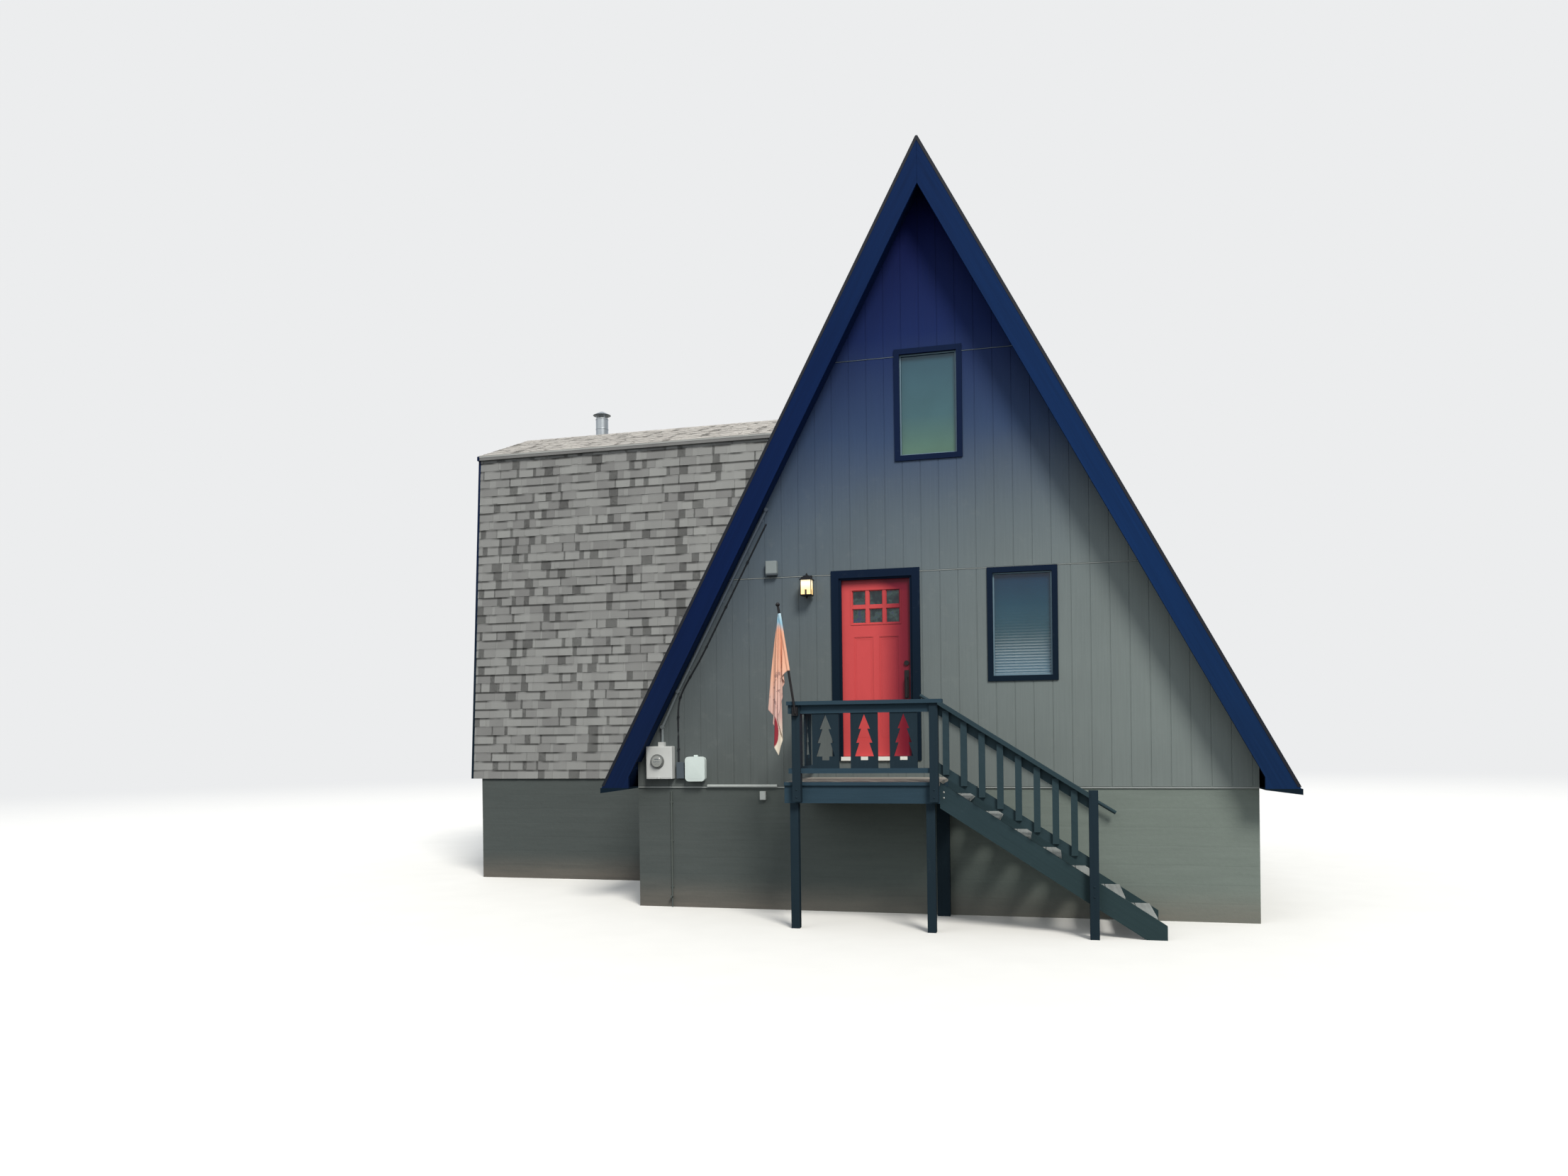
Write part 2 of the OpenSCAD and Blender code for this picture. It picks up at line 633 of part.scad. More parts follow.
// Hinges: fixed leaf, two knuckles and the pin; the slab carries the leaf between them
module leaf(x) {
    translate([x, -leaf_w, 0]) cube([leaf_t, leaf_w - knuckle_r - 0.6, hinge_h]);
}
module knuckle(x, z0, z1) {
    difference() {
        union() {
            translate([0, 0, z0]) cylinder(r = knuckle_r, h = z1 - z0);
            translate([x, -knuckle_r - 0.7, z0]) cube([leaf_t, 3, z1 - z0]);
        }
        translate([0, 0, z0 - 1]) cylinder(r = hinge_pin_r + hinge_fit, h = z1 - z0 + 2);
    }
}
module door_hinges() color([0.15, 0.15, 0.16])
    for (z = hinge_places) translate([pin_x, pin_y, slab_z + z]) {
        leaf(-door_gap / 2);
        knuckle(-door_gap / 2, 0, hinge_h / 3);
        knuckle(-door_gap / 2, hinge_h * 2 / 3, hinge_h);
        translate([0, 0, -4]) cylinder(r = hinge_pin_r, h = hinge_h + 8);
        for (e = [-4, hinge_h]) translate([0, 0, e]) cylinder(r = knuckle_r - 1, h = 4);
    }
// Door slab with a six-light opening and two tall sunk panels
light_w = 545;
light_h = 375;
light_top = 130;
bar_w = 40;
panel_w = 225;
panel_h = 1180;
panel_foot = 190;
module door_slab() color([0.72, 0.2, 0.18]) {
    translate([door_x, slab_y, slab_z]) difference() {
        translate([-slab_w / 2, 0, 0]) cube([slab_w, slab_t, slab_h]);
        for (i = [-1:1], j = [0:1])
            translate([i * (light_w + bar_w) / 3 - (light_w - 2 * bar_w) / 6, -1,
                       slab_h - light_top - light_h + j * (light_h + bar_w) / 2])
                cube([(light_w - 2 * bar_w) / 3, slab_t + 2, (light_h - bar_w) / 2]);
        for (side = [-1, 1], y = [-1, slab_t - 7])
            translate([side * light_w / 4 - panel_w / 2 + side * 9, y, panel_foot])
                cube([panel_w, 8, panel_h]);
    }
    for (z = hinge_places) translate([pin_x, pin_y, slab_z + z]) {
        leaf(door_gap / 2 - leaf_t);
        knuckle(door_gap / 2 - leaf_t, hinge_h / 3 + 0.5, hinge_h * 2 / 3 - 0.5);
    }
}
module door_glass() color([0.5, 0.55, 0.6, 0.5])
    for (i = [-1:1], j = [0:1])
        translate([door_x + i * (light_w + bar_w) / 3 - (light_w - 2 * bar_w) / 6,
                   slab_y + slab_t / 2 - glass_t / 2,
                   slab_z + slab_h - light_top - light_h + j * (light_h + bar_w) / 2])
            cube([(light_w - 2 * bar_w) / 3, glass_t, (light_h - bar_w) / 2]);
handle_x = door_x + slab_w / 2 - 60;
module door_handle() color([0.06, 0.06, 0.07]) translate([handle_x, 0, 0]) {
    for (y = [slab_y - 18, slab_back])
        translate([0, y + 18, bolt_z]) rotate([90, 0, 0]) cylinder(r = 28, h = 18);
    translate([-25, slab_y - 8, grip_z - 160]) cube([50, 8, 320]);
    translate([-10, slab_y - 60, grip_z - 150]) cube([20, 16, 235]);
    for (z = [grip_z - 150, grip_z + 65]) translate([-10, slab_y - 50, z]) cube([20, 45, 20]);
    translate([0, slab_back + 8, grip_z + 100]) rotate([90, 0, 0]) cylinder(r = 30, h = 8);
    translate([0, slab_back + 38, grip_z + 100]) rotate([90, 0, 0]) cylinder(r = 10, h = 34);
    translate([0, slab_back + 60, grip_z + 100]) sphere(r = 26);
}

// Porch
timber_colour = [0.12, 0.16, 0.22];
module post(x, top) block(x - post_w / 2, x + post_w / 2, post_y, post_y + post_w, 0, top);
module porch_posts() color(timber_colour) {
    for (x = [post_left_x, post_right_x]) {
        block(x - post_w / 2, x + post_w / 2, post_y, rim_y, rim_z - rim_h + 20, cap_under);
        block(x - post_shift - post_w / 2, x - post_shift + post_w / 2, rim_y, rim_y + post_w,
              0, rim_z - rim_h);
    }
    block(porch_x1 - wall_post_w, porch_x1, wall_y - post_w - 4, wall_y - 4, 0, rim_z - rim_h);
    post(newel_x, newel_h);
}
rim_z = deck_z - deck_t;
module porch_frame() color(timber_colour) {
    block(porch_x0, porch_x1, rim_y, rim_y + timber_t, rim_z - rim_h, rim_z);
    block(porch_x0, porch_x1, wall_y - timber_t, wall_y, rim_z - rim_h, rim_z);
    span = porch_x1 - porch_x0 - timber_t;
    bays = ceil(span / 400);
    for (i = [0:bays])
        block(porch_x0 + i * span / bays, porch_x0 + i * span / bays + timber_t,
              rim_y + timber_t - eps, wall_y - timber_t + eps, rim_z - rim_h, rim_z);
}
module porch_deck() color([0.55, 0.53, 0.5]) {
    block(porch_x0, porch_x1, rim_y, wall_y, rim_z, deck_z);
    block(porch_x0, post_left_x - post_w / 2, rim_y - nosing, rim_y + eps, rim_z, deck_z);
    block(post_left_x + post_w / 2, post_right_x - post_w / 2, rim_y - nosing, rim_y + eps,
          rim_z, deck_z);
}
// Outline of one pine-tree cut-out, three tiers on a trunk, with its foot at the origin
module tree() {
    body = tree_h - trunk_h;
    polygon([
        [-trunk_w / 2, 0], [trunk_w / 2, 0], [trunk_w / 2, trunk_h], [tree_w / 2, trunk_h],
        [tree_w * 0.27, trunk_h + body * 0.32], [tree_w * 0.43, trunk_h + body * 0.32],
        [tree_w * 0.17, trunk_h + body * 0.65], [tree_w * 0.31, trunk_h + body * 0.65],
        [0, tree_h],
        [-tree_w * 0.31, trunk_h + body * 0.65], [-tree_w * 0.17, trunk_h + body * 0.65],
        [-tree_w * 0.43, trunk_h + body * 0.32], [-tree_w * 0.27, trunk_h + body * 0.32],
        [-tree_w / 2, trunk_h], [-trunk_w / 2, trunk_h]]);
}
board_z = bottom_z + bottom_rail_h;
board_h = sub_z - board_z;
module tree_board() difference() {
    translate([-rail_board_w / 2, 0]) square([rail_board_w, board_h]);
    translate([0, board_h - tree_h - 12]) tree();
}
front_x0 = post_left_x + post_w / 2;
front_gap = (post_right_x - post_w / 2 - front_x0 - front_boards * rail_board_w) / (front_boards + 1);
side_y0 = post_y + post_w;
side_gap = (wall_y - side_y0 - side_boards * rail_board_w) / (side_boards + 1);
module rail_boards() color(timber_colour) {
    for (i = [0:front_boards - 1])
        translate([front_x0 + front_gap + rail_board_w / 2 + i * (rail_board_w + front_gap), 0, board_z])
            along_y(rail_mid_y - rail_board_t / 2, rail_mid_y + rail_board_t / 2) tree_board();
    for (i = [0:side_boards - 1])
        translate([0, side_y0 + side_gap + rail_board_w / 2 + i * (rail_board_w + side_gap), board_z])
            along_x(side_x - rail_board_t / 2, side_x + rail_board_t / 2) tree_board();
}
module porch_front_rail() color(timber_colour) {
    x1 = post_right_x - post_w / 2;
    block(cap_x0, cap_end_x, rail_mid_y - cap_w / 2, rail_mid_y + cap_w / 2,
          rail_z - cap_rail_t, rail_z);
    block(front_x0, x1, rail_mid_y - timber_t / 2, rail_mid_y + timber_t / 2, sub_z,
          rail_z - cap_rail_t + eps);
    block(front_x0, x1, rail_mid_y - timber_t / 2, rail_mid_y + timber_t / 2, bottom_z,
          bottom_z + bottom_rail_h);
}
module porch_side_rail() color(timber_colour) {
    block(cap_x0, cap_x0 + cap_w, rail_mid_y + cap_w / 2, wall_y, cap_under - eps, rail_z);
    block(side_x - timber_t / 2, side_x + timber_t / 2, post_y, wall_y, sub_z, cap_under);
    block(side_x - timber_t / 2, side_x + timber_t / 2, post_y, wall_y, bottom_z,
          bottom_z + bottom_rail_h);
}

// Steps. A sloping bar is drawn in x and z: its top edge starts at z0 over x0
module sloping(x0, x1, z0, depth) polygon([
    [x0, z0], [x1, z0 - (x1 - x0) * step_slope],
    [x1, z0 - (x1 - x0) * step_slope - depth], [x0, z0 - depth]]);
stringer_foot = porch_x1 + (risers - 1) * run + stringer_over;
module stringer_outline() intersection() {
    sloping(porch_x1, stringer_foot, deck_z - 2, stringer_w / cos(step_angle));
    translate([0, 0]) square([far, far]);
}
module stair_stringers() color(timber_colour) {
    along_y(stringer_y, stringer_y + timber_t) stringer_outline();
    along_y(far_stringer_y, far_stringer_y + timber_t) stringer_outline();
}
module stair_treads() color([0.5, 0.5, 0.48])
    for (i = [1:risers - 1])
        block(porch_x1 + max(0, (i - 1) * run - 15), porch_x1 + i * run - 8, tread_y, far_stringer_y,
              deck_z - i * riser + tread_up - tread_t, deck_z - i * riser + tread_up);
baluster_x = post_face_x + 79;
baluster_step = (newel_face_x - 138 - baluster_x) / (balusters - 1);
lower_rail_top = deck_z + 199;
module stair_rail() color(timber_colour) {
    along_y(rail_mid_y - cap_w / 2, rail_mid_y + cap_w / 2) intersection() {
        sloping(post_face_x, newel_face_x, step_rail_top, cap_rail_t / cos(step_angle));
        translate([0, 0]) square([far, cap_under]);
    }
    along_y(rail_mid_y, rail_mid_y + timber_t) {
        sloping(post_face_x, newel_face_x, step_rail_top - cap_rail_t / cos(step_angle) + eps,
                sub_h / cos(step_angle));
        sloping(post_face_x, newel_face_x, lower_rail_top, sub_h / cos(step_angle));
    }
    along_y(rail_mid_y - timber_t, rail_mid_y + eps)
        for (i = [0:balusters - 1]) {
            x = baluster_x + i * baluster_step;
            drop = (x - post_face_x) * step_slope;
            translate([x - baluster_w / 2, lower_rail_top - drop - baluster_hang])
                square([baluster_w, step_rail_top - lower_rail_top + baluster_hang - 60]);
        }
}
wall_rail_y = wall_y - 70;
wall_rail_x0 = -66;
wall_rail_z0 = found_h + 1033;
wall_rail_l = 2467;
wall_rail_angle = 32;
module wall_handrail() color(siding_colour) {
    translate([wall_rail_x0, wall_rail_y, wall_rail_z0]) rotate([0, 90 + wall_rail_angle, 0])
        cylinder(d = wall_rail_d, h = wall_rail_l);
    for (s = [200, 1000, 1800])
        translate([wall_rail_x0 + s * cos(wall_rail_angle), wall_y,
                   wall_rail_z0 - s * sin(wall_rail_angle)])
            rotate([90, 0, 0]) {
                cylinder(d = 16, h = 70);
                cylinder(d = 60, h = 6);
            }
}

// Fixtures on the front wall
lamp_r = 46;
module at_lantern() translate([lantern_x, wall_y, found_h + lantern_z]) children();
module square_cone(w1, w2, h) linear_extrude(h, scale = w2 / w1) square(w1, center = true);
module lantern() color([0.08, 0.08, 0.09]) at_lantern() {
    translate([-45, -14, -60]) cube([90, 14, 190]);
    translate([-9, -100, 104]) cube([18, 92, 14]);
    translate([0, -100, 70]) square_cone(150, 40, 56);
    translate([0, -100, 124]) cylinder(d = 24, h = 26);
    translate([0, -100, -116]) linear_extrude(16) square(130, center = true);
    translate([0, -100, -142]) cylinder(d1 = 14, d2 = 40, h = 27);
    for (x = [-1, 1], y = [-1, 1])
        translate([x * (lamp_r + 5) - 5, y * (lamp_r + 5) - 105, -101]) cube([10, 10, 172]);
}
module lantern_glass() color([1, 0.85, 0.6]) at_lantern()
    translate([0, -100, -100]) linear_extrude(170) square(2 * lamp_r, center = true);
hub_h = 50;
link_w = 96;
link_x = phone_x - phone_w / 2 - 24 - link_w;
upper_box_w = 134;
upper_box_h = 172;
upper_box_x = lantern_x - 498;
module rounded(w, h, r) offset(r) square([w - 2 * r, h - 2 * r], center = true);
module service_boxes() color([0.8, 0.82, 0.82]) {
    translate([meter_x, 0, found_h + meter_z]) {
        along_y(wall_y - 110, wall_y) square([meter_w, meter_h], center = true);
        translate([-30, wall_y - 109, 20]) rotate([90, 0, 0]) cylinder(d = dial_d, h = 66);
        block(-20, 50, wall_y - 80, wall_y - 5, meter_h / 2 - 1, meter_h / 2 + hub_h);
    }
    translate([phone_x, 0, found_h + phone_up])
        along_y(wall_y - 95, wall_y) rounded(phone_w, phone_h, 44);
    block(link_x, link_x + link_w, wall_y - 60, wall_y, found_h + link_up,
          found_h + link_up + meter_h / 2);
    block(upper_box_x, upper_box_x + upper_box_w, wall_y - 70, wall_y, found_h + upper_box_up,
          found_h + upper_box_up + upper_box_h);
}
// Round pipe between two places given in x and z, at a distance from the wall
module pipe(a, b, y, d) {
    run_x = b[0] - a[0];
    run_z = b[1] - a[1];
    translate([a[0], y, a[1]]) rotate([0, atan2(run_x, run_z), 0])
        cylinder(d = d, h = norm([run_x, run_z]));
}
conduit_y = wall_y - conduit_d / 2 - 3;
duct_l = 851;
duct_x = phone_x + phone_w / 2 + 8;
outlet_w = 68;
outlet_h = 99;
outlet_x = duct_x + 644;
conduit_foot = found_h + meter_z + meter_h / 2 + hub_h;
conduit_bend = conduit_foot + conduit_rise;
conduit_top = joint_z + conduit_over;
conduit_x = meter_x + 15;
conduit_pts = [[conduit_x, conduit_foot], [conduit_x, conduit_foot + 0.3 * conduit_rise],
               [conduit_in - roof_run(conduit_bend, roof_t), conduit_bend],
               [conduit_in - roof_run(conduit_top, roof_t), conduit_top]];
module service_pipes() color([0.7, 0.72, 0.72]) {
    for (i = [0:2]) pipe(conduit_pts[i], conduit_pts[i + 1], conduit_y, conduit_d);
    for (i = [1:3]) translate([conduit_pts[i][0], wall_y, conduit_pts[i][1]])
        rotate([90, 0, 0]) cylinder(d = conduit_d + 10, h = conduit_d + 8);
    for (i = [0.12, 0.5, 0.94]) {
        at = conduit_pts[2] + i * (conduit_pts[3] - conduit_pts[2]);
        translate([at[0], 0, at[1]]) block(-26, 26, wall_y - 8, wall_y, -12, 12);
    }
    pipe([earth_x, 0], [earth_x, found_h - 55], face_y - 14, 18);
    for (i = [0.17, 0.55, 0.87]) translate([earth_x, 0, i * found_h])
        block(-20, 20, face_y - 10, face_y, -9, 9);
    translate([earth_x, face_y - 14, 0.09 * found_h]) rotate([90, 0, 0]) cylinder(d = 26, h = 60);
    block(duct_x, duct_x + duct_l, wall_y - 24, wall_y, found_h + 2, found_h + 26);
    block(outlet_x, outlet_x + outlet_w, face_y - 40, face_y, found_h - 53 - outlet_h, found_h - 53);
}
pole_foot_x = post_left_x + 8;
pole_foot_z = rail_z - 130;
pole_y = rail_mid_y - cap_w / 2 - 14;
pole_d = 25;
module flag_pole() color([0.07, 0.07, 0.07]) {
    translate([pole_foot_x, pole_y, pole_foot_z]) rotate([0, -pole_lean, 0]) {
        cylinder(d = pole_d, h = pole_l);
        translate([0, 0, pole_l + 12]) sphere(d = 45);
    }
    block(post_left_x - 30, post_left_x + 30, pole_y, post_y, pole_foot_z - 20, pole_foot_z + 70);
}
// The flag hangs limp: a folded ribbon cut to the outline of the hanging cloth
flag_top = pole_foot_z + pole_l * cos(pole_lean) - 75;
flag_foot = flag_top - flag_drop;
flag_x = pole_foot_x - pole_l * sin(pole_lean) + 5;
fold = 9;
module flag_ribbon() polygon(concat(
    [for (i = [0:5]) [flag_w * (i / 5 - 0.5), i % 2 == 0 ? 0 : -70]],
    [for (i = [5:-1:0]) [flag_w * (i / 5 - 0.5), (i % 2 == 0 ? 0 : -70) - fold]]));
module flag() color([0.85, 0.6, 0.45]) intersection() {
    translate([flag_x, pole_y - pole_d / 2 - 0.3, flag_foot]) linear_extrude(flag_drop) flag_ribbon();
    translate([flag_x, 0, flag_foot]) along_y(pole_y - 200, pole_y) polygon([
        [-0.45 * flag_w, 0], [0.4 * flag_w, 0.02 * flag_drop], [0.5 * flag_w, 0.4 * flag_drop],
        [0.36 * flag_w, 0.7 * flag_drop], [0.12 * flag_w, flag_drop],
        [-0.12 * flag_w, flag_drop], [-0.48 * flag_w, 0.75 * flag_drop]]);
}

foundation_front();
foundation_back();
foundation_sides();
wing_foundation_sides();
wing_foundation_end();
sill_flashing();
main_floor();
loft_floor();
wing_floor();
wing_loft_floor();
front_wall_left();
front_wall_right();
front_wall_under_door();
front_wall_gable();
back_wall_lower();
back_wall_gable();
wing_wall_lower();
wing_wall_upper();
roof_left();
roof_right();
ridge_cap();
front_rake_boards();
back_rake_boards();
eave_boards();
wing_roof_front();
wing_roof_back();
wing_upper_front();
wing_upper_back();
wing_ridge_cap();
wing_rake_boards();
flue();
front_windows();
rear_windows();
window_glass();
window_blinds();
door_frame();
door_threshold();
door_hinges();
door_slab();
door_glass();
door_handle();
porch_posts();
porch_frame();
porch_deck();
porch_front_rail();
porch_side_rail();
rail_boards();
stair_stringers();
stair_treads();
stair_rail();
wall_handrail();
lantern();
lantern_glass();
service_boxes();
service_pipes();
flag_pole();
flag();
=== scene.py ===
"""Dresses the a-frame cabin: siding, shingles, windows, door, porch, steps, fixtures and stage."""

import math

import bmesh
import bpy
from bpy.props import FloatProperty, FloatVectorProperty, IntProperty, PointerProperty
from mathutils import Matrix, Vector

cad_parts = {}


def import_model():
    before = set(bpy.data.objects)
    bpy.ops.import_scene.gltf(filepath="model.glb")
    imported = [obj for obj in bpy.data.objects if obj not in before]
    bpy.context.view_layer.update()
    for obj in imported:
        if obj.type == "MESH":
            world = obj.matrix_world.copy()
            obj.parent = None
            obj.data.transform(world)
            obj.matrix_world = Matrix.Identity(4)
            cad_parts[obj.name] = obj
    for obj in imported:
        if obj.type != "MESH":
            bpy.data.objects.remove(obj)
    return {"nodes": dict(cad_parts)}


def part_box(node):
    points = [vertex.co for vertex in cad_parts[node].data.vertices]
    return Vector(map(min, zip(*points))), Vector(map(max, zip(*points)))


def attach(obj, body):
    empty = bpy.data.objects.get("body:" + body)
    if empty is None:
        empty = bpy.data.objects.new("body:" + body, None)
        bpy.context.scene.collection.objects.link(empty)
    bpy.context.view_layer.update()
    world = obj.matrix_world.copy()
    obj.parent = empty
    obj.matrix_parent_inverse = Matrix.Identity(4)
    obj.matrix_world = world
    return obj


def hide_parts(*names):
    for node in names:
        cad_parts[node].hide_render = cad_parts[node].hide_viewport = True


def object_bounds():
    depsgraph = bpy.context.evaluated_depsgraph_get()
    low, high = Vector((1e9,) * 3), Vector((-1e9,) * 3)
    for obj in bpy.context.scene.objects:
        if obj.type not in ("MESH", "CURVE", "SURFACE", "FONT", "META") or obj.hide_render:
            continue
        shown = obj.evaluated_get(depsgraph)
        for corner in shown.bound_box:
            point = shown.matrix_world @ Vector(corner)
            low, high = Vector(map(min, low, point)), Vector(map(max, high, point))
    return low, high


bl_info = {
    "name": "A-frame cabin dressing",
    "version": (1, 0, 0),
    "blender": (4, 5, 0),
    "location": "View3D > Sidebar > Cabin",
    "description": "Dresses an a-frame cabin with siding, shingles, blinds, boards and fixtures",
    "category": "Object",
}

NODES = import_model()["nodes"]
CAD_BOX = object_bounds()
HOUSE = "house"
DOOR = "front_door"

# Planes and lines of the model, in metres
FOUND_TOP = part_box("foundation_front")[1].z
HALF_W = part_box("foundation_front")[1].x
WALL_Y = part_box("front_wall_left")[0].y
BACK_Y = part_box("back_wall_lower")[1].y
WING_END_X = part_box("wing_wall_lower")[0].x
JOINT_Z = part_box("front_wall_left")[1].z
ROOF_Y = (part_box("roof_right")[0].y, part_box("roof_right")[1].y)
APEX_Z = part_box("roof_right")[1].z
PITCH = math.radians(62)
ROOF_T = 0.19
WING_Y = (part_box("wing_roof_front")[0].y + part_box("wing_roof_back")[1].y) / 2
WING_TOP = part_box("wing_upper_front")[1].z
WING_HALF = WING_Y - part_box("wing_roof_front")[0].y
WING_LEAN = math.radians(4)
WING_PITCH = math.radians(22)
WING_EDGE_Q = WING_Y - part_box("wing_upper_front")[0].y
WING_PLATE_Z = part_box("wing_upper_front")[0].z
WING_X0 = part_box("wing_upper_front")[0].x
WING_EDGE_Z = WING_TOP - WING_EDGE_Q * math.tan(WING_PITCH)
EAVE_OUT = 0.33
SLOPE = Vector((math.sin(PITCH), 0, math.cos(PITCH)))

# How much longer a shingle is than the part of it that shows
LAP = 1.12

# The sRGB colour behind the cabin
BACKDROP = (236, 237, 238)

# The foot and the lean of the flag's pole, and the line of the clipped cable in x and z
POLE_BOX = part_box("flag_pole")
POLE_FOOT = (-1.235, -1.3395, 2.272)
POLE_LEAN = math.atan2(POLE_BOX[1].x - 0.022 - POLE_BOX[0].x - 0.0225, 1.17)
CABLE = ((-2.955, 1.728), (-2.955, 2.05), (-2.955, 2.353), (-2.93, 2.51), (-2.84, 2.685),
         (-2.676, 2.938), (-2.5, 3.267), (-2.288, 3.667), (-2.07, 4.079), (-1.84, 4.51))


def srgb(red, green, blue):
    """Linear colour of an sRGB colour in 0 to 255."""
    out = []
    for part in (red, green, blue):
        part /= 255
        out.append(part / 12.92 if part <= 0.04045 else ((part + 0.055) / 1.055) ** 2.4)
    return (*out, 1.0)


# Shader values and finishes


class Val:
    """A shader number; the operators add Math nodes."""

    def __init__(self, finish, socket):
        self.finish = finish
        self.socket = socket

    def math(self, operation, *others, clamp=False):
        """A Math node on this value and the others."""
        return self.finish.number("ShaderNodeMath", dict(enumerate((self, *others))),
                                  operation=operation, use_clamp=clamp)

    def __add__(self, other):
        return self.math("ADD", other)

    def __radd__(self, other):
        return self.math("ADD", other)

    def __sub__(self, other):
        return self.math("SUBTRACT", other)

    def __rsub__(self, other):
        return self.finish.number("ShaderNodeMath", {0: other, 1: self}, operation="SUBTRACT")

    def __mul__(self, other):
        return self.math("MULTIPLY", other)

    def __rmul__(self, other):
        return self.math("MULTIPLY", other)

    def __truediv__(self, other):
        return self.math("DIVIDE", other)

    def clamp(self):
        """This value held between 0 and 1."""
        return self.math("ADD", 0.0, clamp=True)

    def step(self, low, high):
        """0 below low and 1 above high, with a smooth rise between."""
        return self.finish.number("ShaderNodeMapRange",
                                  {"Value": self, "From Min": low, "From Max": high},
                                  interpolation_type="SMOOTHSTEP")

    def frac(self):
        """The part after the decimal point."""
        return self.math("FRACT")

    def near(self, middle, reach, soft):
        """1 within reach of a value and 0 outside, with a soft edge."""
        return 1.0 - (self - middle).math("ABSOLUTE").step(reach, reach + soft)


class Nodes:
    """A node tree that is filled by calls."""

    def __init__(self, tree):
        self.tree = tree

    def node(self, kind, inputs=None, output=0, **settings):
        """An output of a new node, with its settings, and values or links on its sockets."""
        made = self.tree.nodes.new(kind)
        for key, value in settings.items():
            setattr(made, key, value)
        for key, value in (inputs or {}).items():
            for part in value if isinstance(value, list) else [value]:
                self.feed(made.inputs[key], part)
        return made.outputs[output]

    def feed(self, socket, value):
        """Links or sets a socket."""
        if isinstance(value, Val):
            value = value.socket
        if isinstance(value, bpy.types.NodeSocket):
            self.tree.links.new(value, socket)
        else:
            socket.default_value = value

    def vector(self, x=0.0, y=0.0, z=0.0):
        """A vector of three numbers or sockets."""
        return self.node("ShaderNodeCombineXYZ", {0: x, 1: y, 2: z})


class Finish(Nodes):
    """A node material that reads Object coordinates."""

    def __init__(self, name, roughness=0.6, metallic=0.0, coat=0.0, shine=0.5):
        self.material = bpy.data.materials.new(name)
        self.material.use_nodes = True
        super().__init__(self.material.node_tree)
        self.shader = next(n for n in self.tree.nodes if n.type == "BSDF_PRINCIPLED")
        self.set("Roughness", roughness)
        self.set("Metallic", metallic)
        self.set("Coat Weight", coat)
        self.set("Specular IOR Level", shine)
        self.place = self.node("ShaderNodeTexCoord", output="Object")
        self.x, self.y, self.z = self.split(self.place)

    def split(self, vector):
        """The three numbers of a vector."""
        parts = self.node("ShaderNodeSeparateXYZ", {0: vector}).node
        return [Val(self, socket) for socket in parts.outputs]

    def number(self, kind, inputs=None, output=0, **settings):
        """An output of a new node, as a value."""
        return Val(self, self.node(kind, inputs, output, **settings))

    def set(self, socket, value):
        """Feeds one of the shader's sockets."""
        self.feed(self.shader.inputs[socket], value)

    def done(self, colour, roughness=None, relief=None):
        """Feeds the colour, the roughness and relief of (height, metres, strength)."""
        self.set("Base Color", colour)
        if roughness is not None:
            self.set("Roughness", roughness)
        if relief:
            sockets = dict(zip(("Height", "Distance", "Strength"), relief))
            self.set("Normal", self.node("ShaderNodeBump", sockets))
        return self

    def stretched(self, scale, turn=0.0):
        """Object coordinates turned about Y and then scaled."""
        turned = self.node("ShaderNodeMapping", {"Vector": self.place, "Rotation": (0, turn, 0)})
        return self.node("ShaderNodeVectorMath", {0: turned, 1: tuple(scale)},
                         operation="MULTIPLY")

    def noise(self, scale, detail=3.0, rough=0.55, where=None):
        """Noise from 0 to 1."""
        return self.number("ShaderNodeTexNoise", {"Vector": where or self.place, "Scale": scale,
                                                  "Detail": detail, "Roughness": rough})

    def mix(self, factor, first, second, blend="MIX"):
        """A colour between two colours."""
        return self.node("ShaderNodeMix", {0: factor, 6: first, 7: second}, 2,
                         data_type="RGBA", blend_type=blend)

    def shade(self, colour, factor):
        """A colour darkened or lightened by a number."""
        grey = self.node("ShaderNodeCombineColor", {0: factor, 1: factor, 2: factor})
        return self.mix(1.0, colour, grey, "MULTIPLY")

    def ramp(self, value, *stops):
        """A colour from stops of (place, colour)."""
        made = self.node("ShaderNodeValToRGB", {0: value})
        ramp = made.node.color_ramp.elements
        while len(ramp) < len(stops):
            ramp.new(0.5)
        for stop, (at, colour) in zip(ramp, stops):
            stop.position = at
            stop.color = colour
        return made

    def attribute(self, name):
        """A number kept on the mesh."""
        return self.number("ShaderNodeAttribute", output="Fac", attribute_name=name)


FINISHES = {}


def siding_finish():
    """Grey stained sheets, with painted shade that turns them deep blue under the ridge and painted
    light on the lower right.
    """
    f = Finish("siding_stain", 0.8, shine=0.1)
    grain = f.noise(1.0, 4, 0.6, f.stretched((60, 60, 1.6)))
    cloud = f.noise(0.9, 3)
    tall = (f.z - FOUND_TOP) / (APEX_Z - FOUND_TOP) + (cloud - 0.5) * 0.06
    # The ramp by height is painted shade: grey low down, going deep blue under the ridge where the
    # overhang shades the gable.
    colour = f.ramp(tall, (0.0, srgb(90, 96, 95)), (0.2, srgb(88, 96, 99)),
                    (0.42, srgb(80, 93, 106)), (0.56, srgb(54, 72, 103)),
                    (0.72, srgb(24, 40, 87)), (0.9, srgb(11, 20, 74)))
    # Lighter towards the right low down: painted light.
    painted_light_right = f.x.step(-3.0, 3.2) * (1.0 - tall.step(0.3, 0.6))
    colour = f.mix(painted_light_right * 0.8, colour, srgb(124, 134, 132))
    wear = f.noise(7.0, 5, 0.7).step(0.52, 0.75) * (1.0 - tall.step(0.35, 0.6))
    colour = f.mix(wear * 0.1, colour, srgb(136, 142, 140))
    colour = f.shade(colour, 0.84 + grain * 0.18 + (cloud - 0.5) * 0.24)
    return f.done(colour, 0.68 + grain * 0.2, (grain, 0.0012, 0.8))


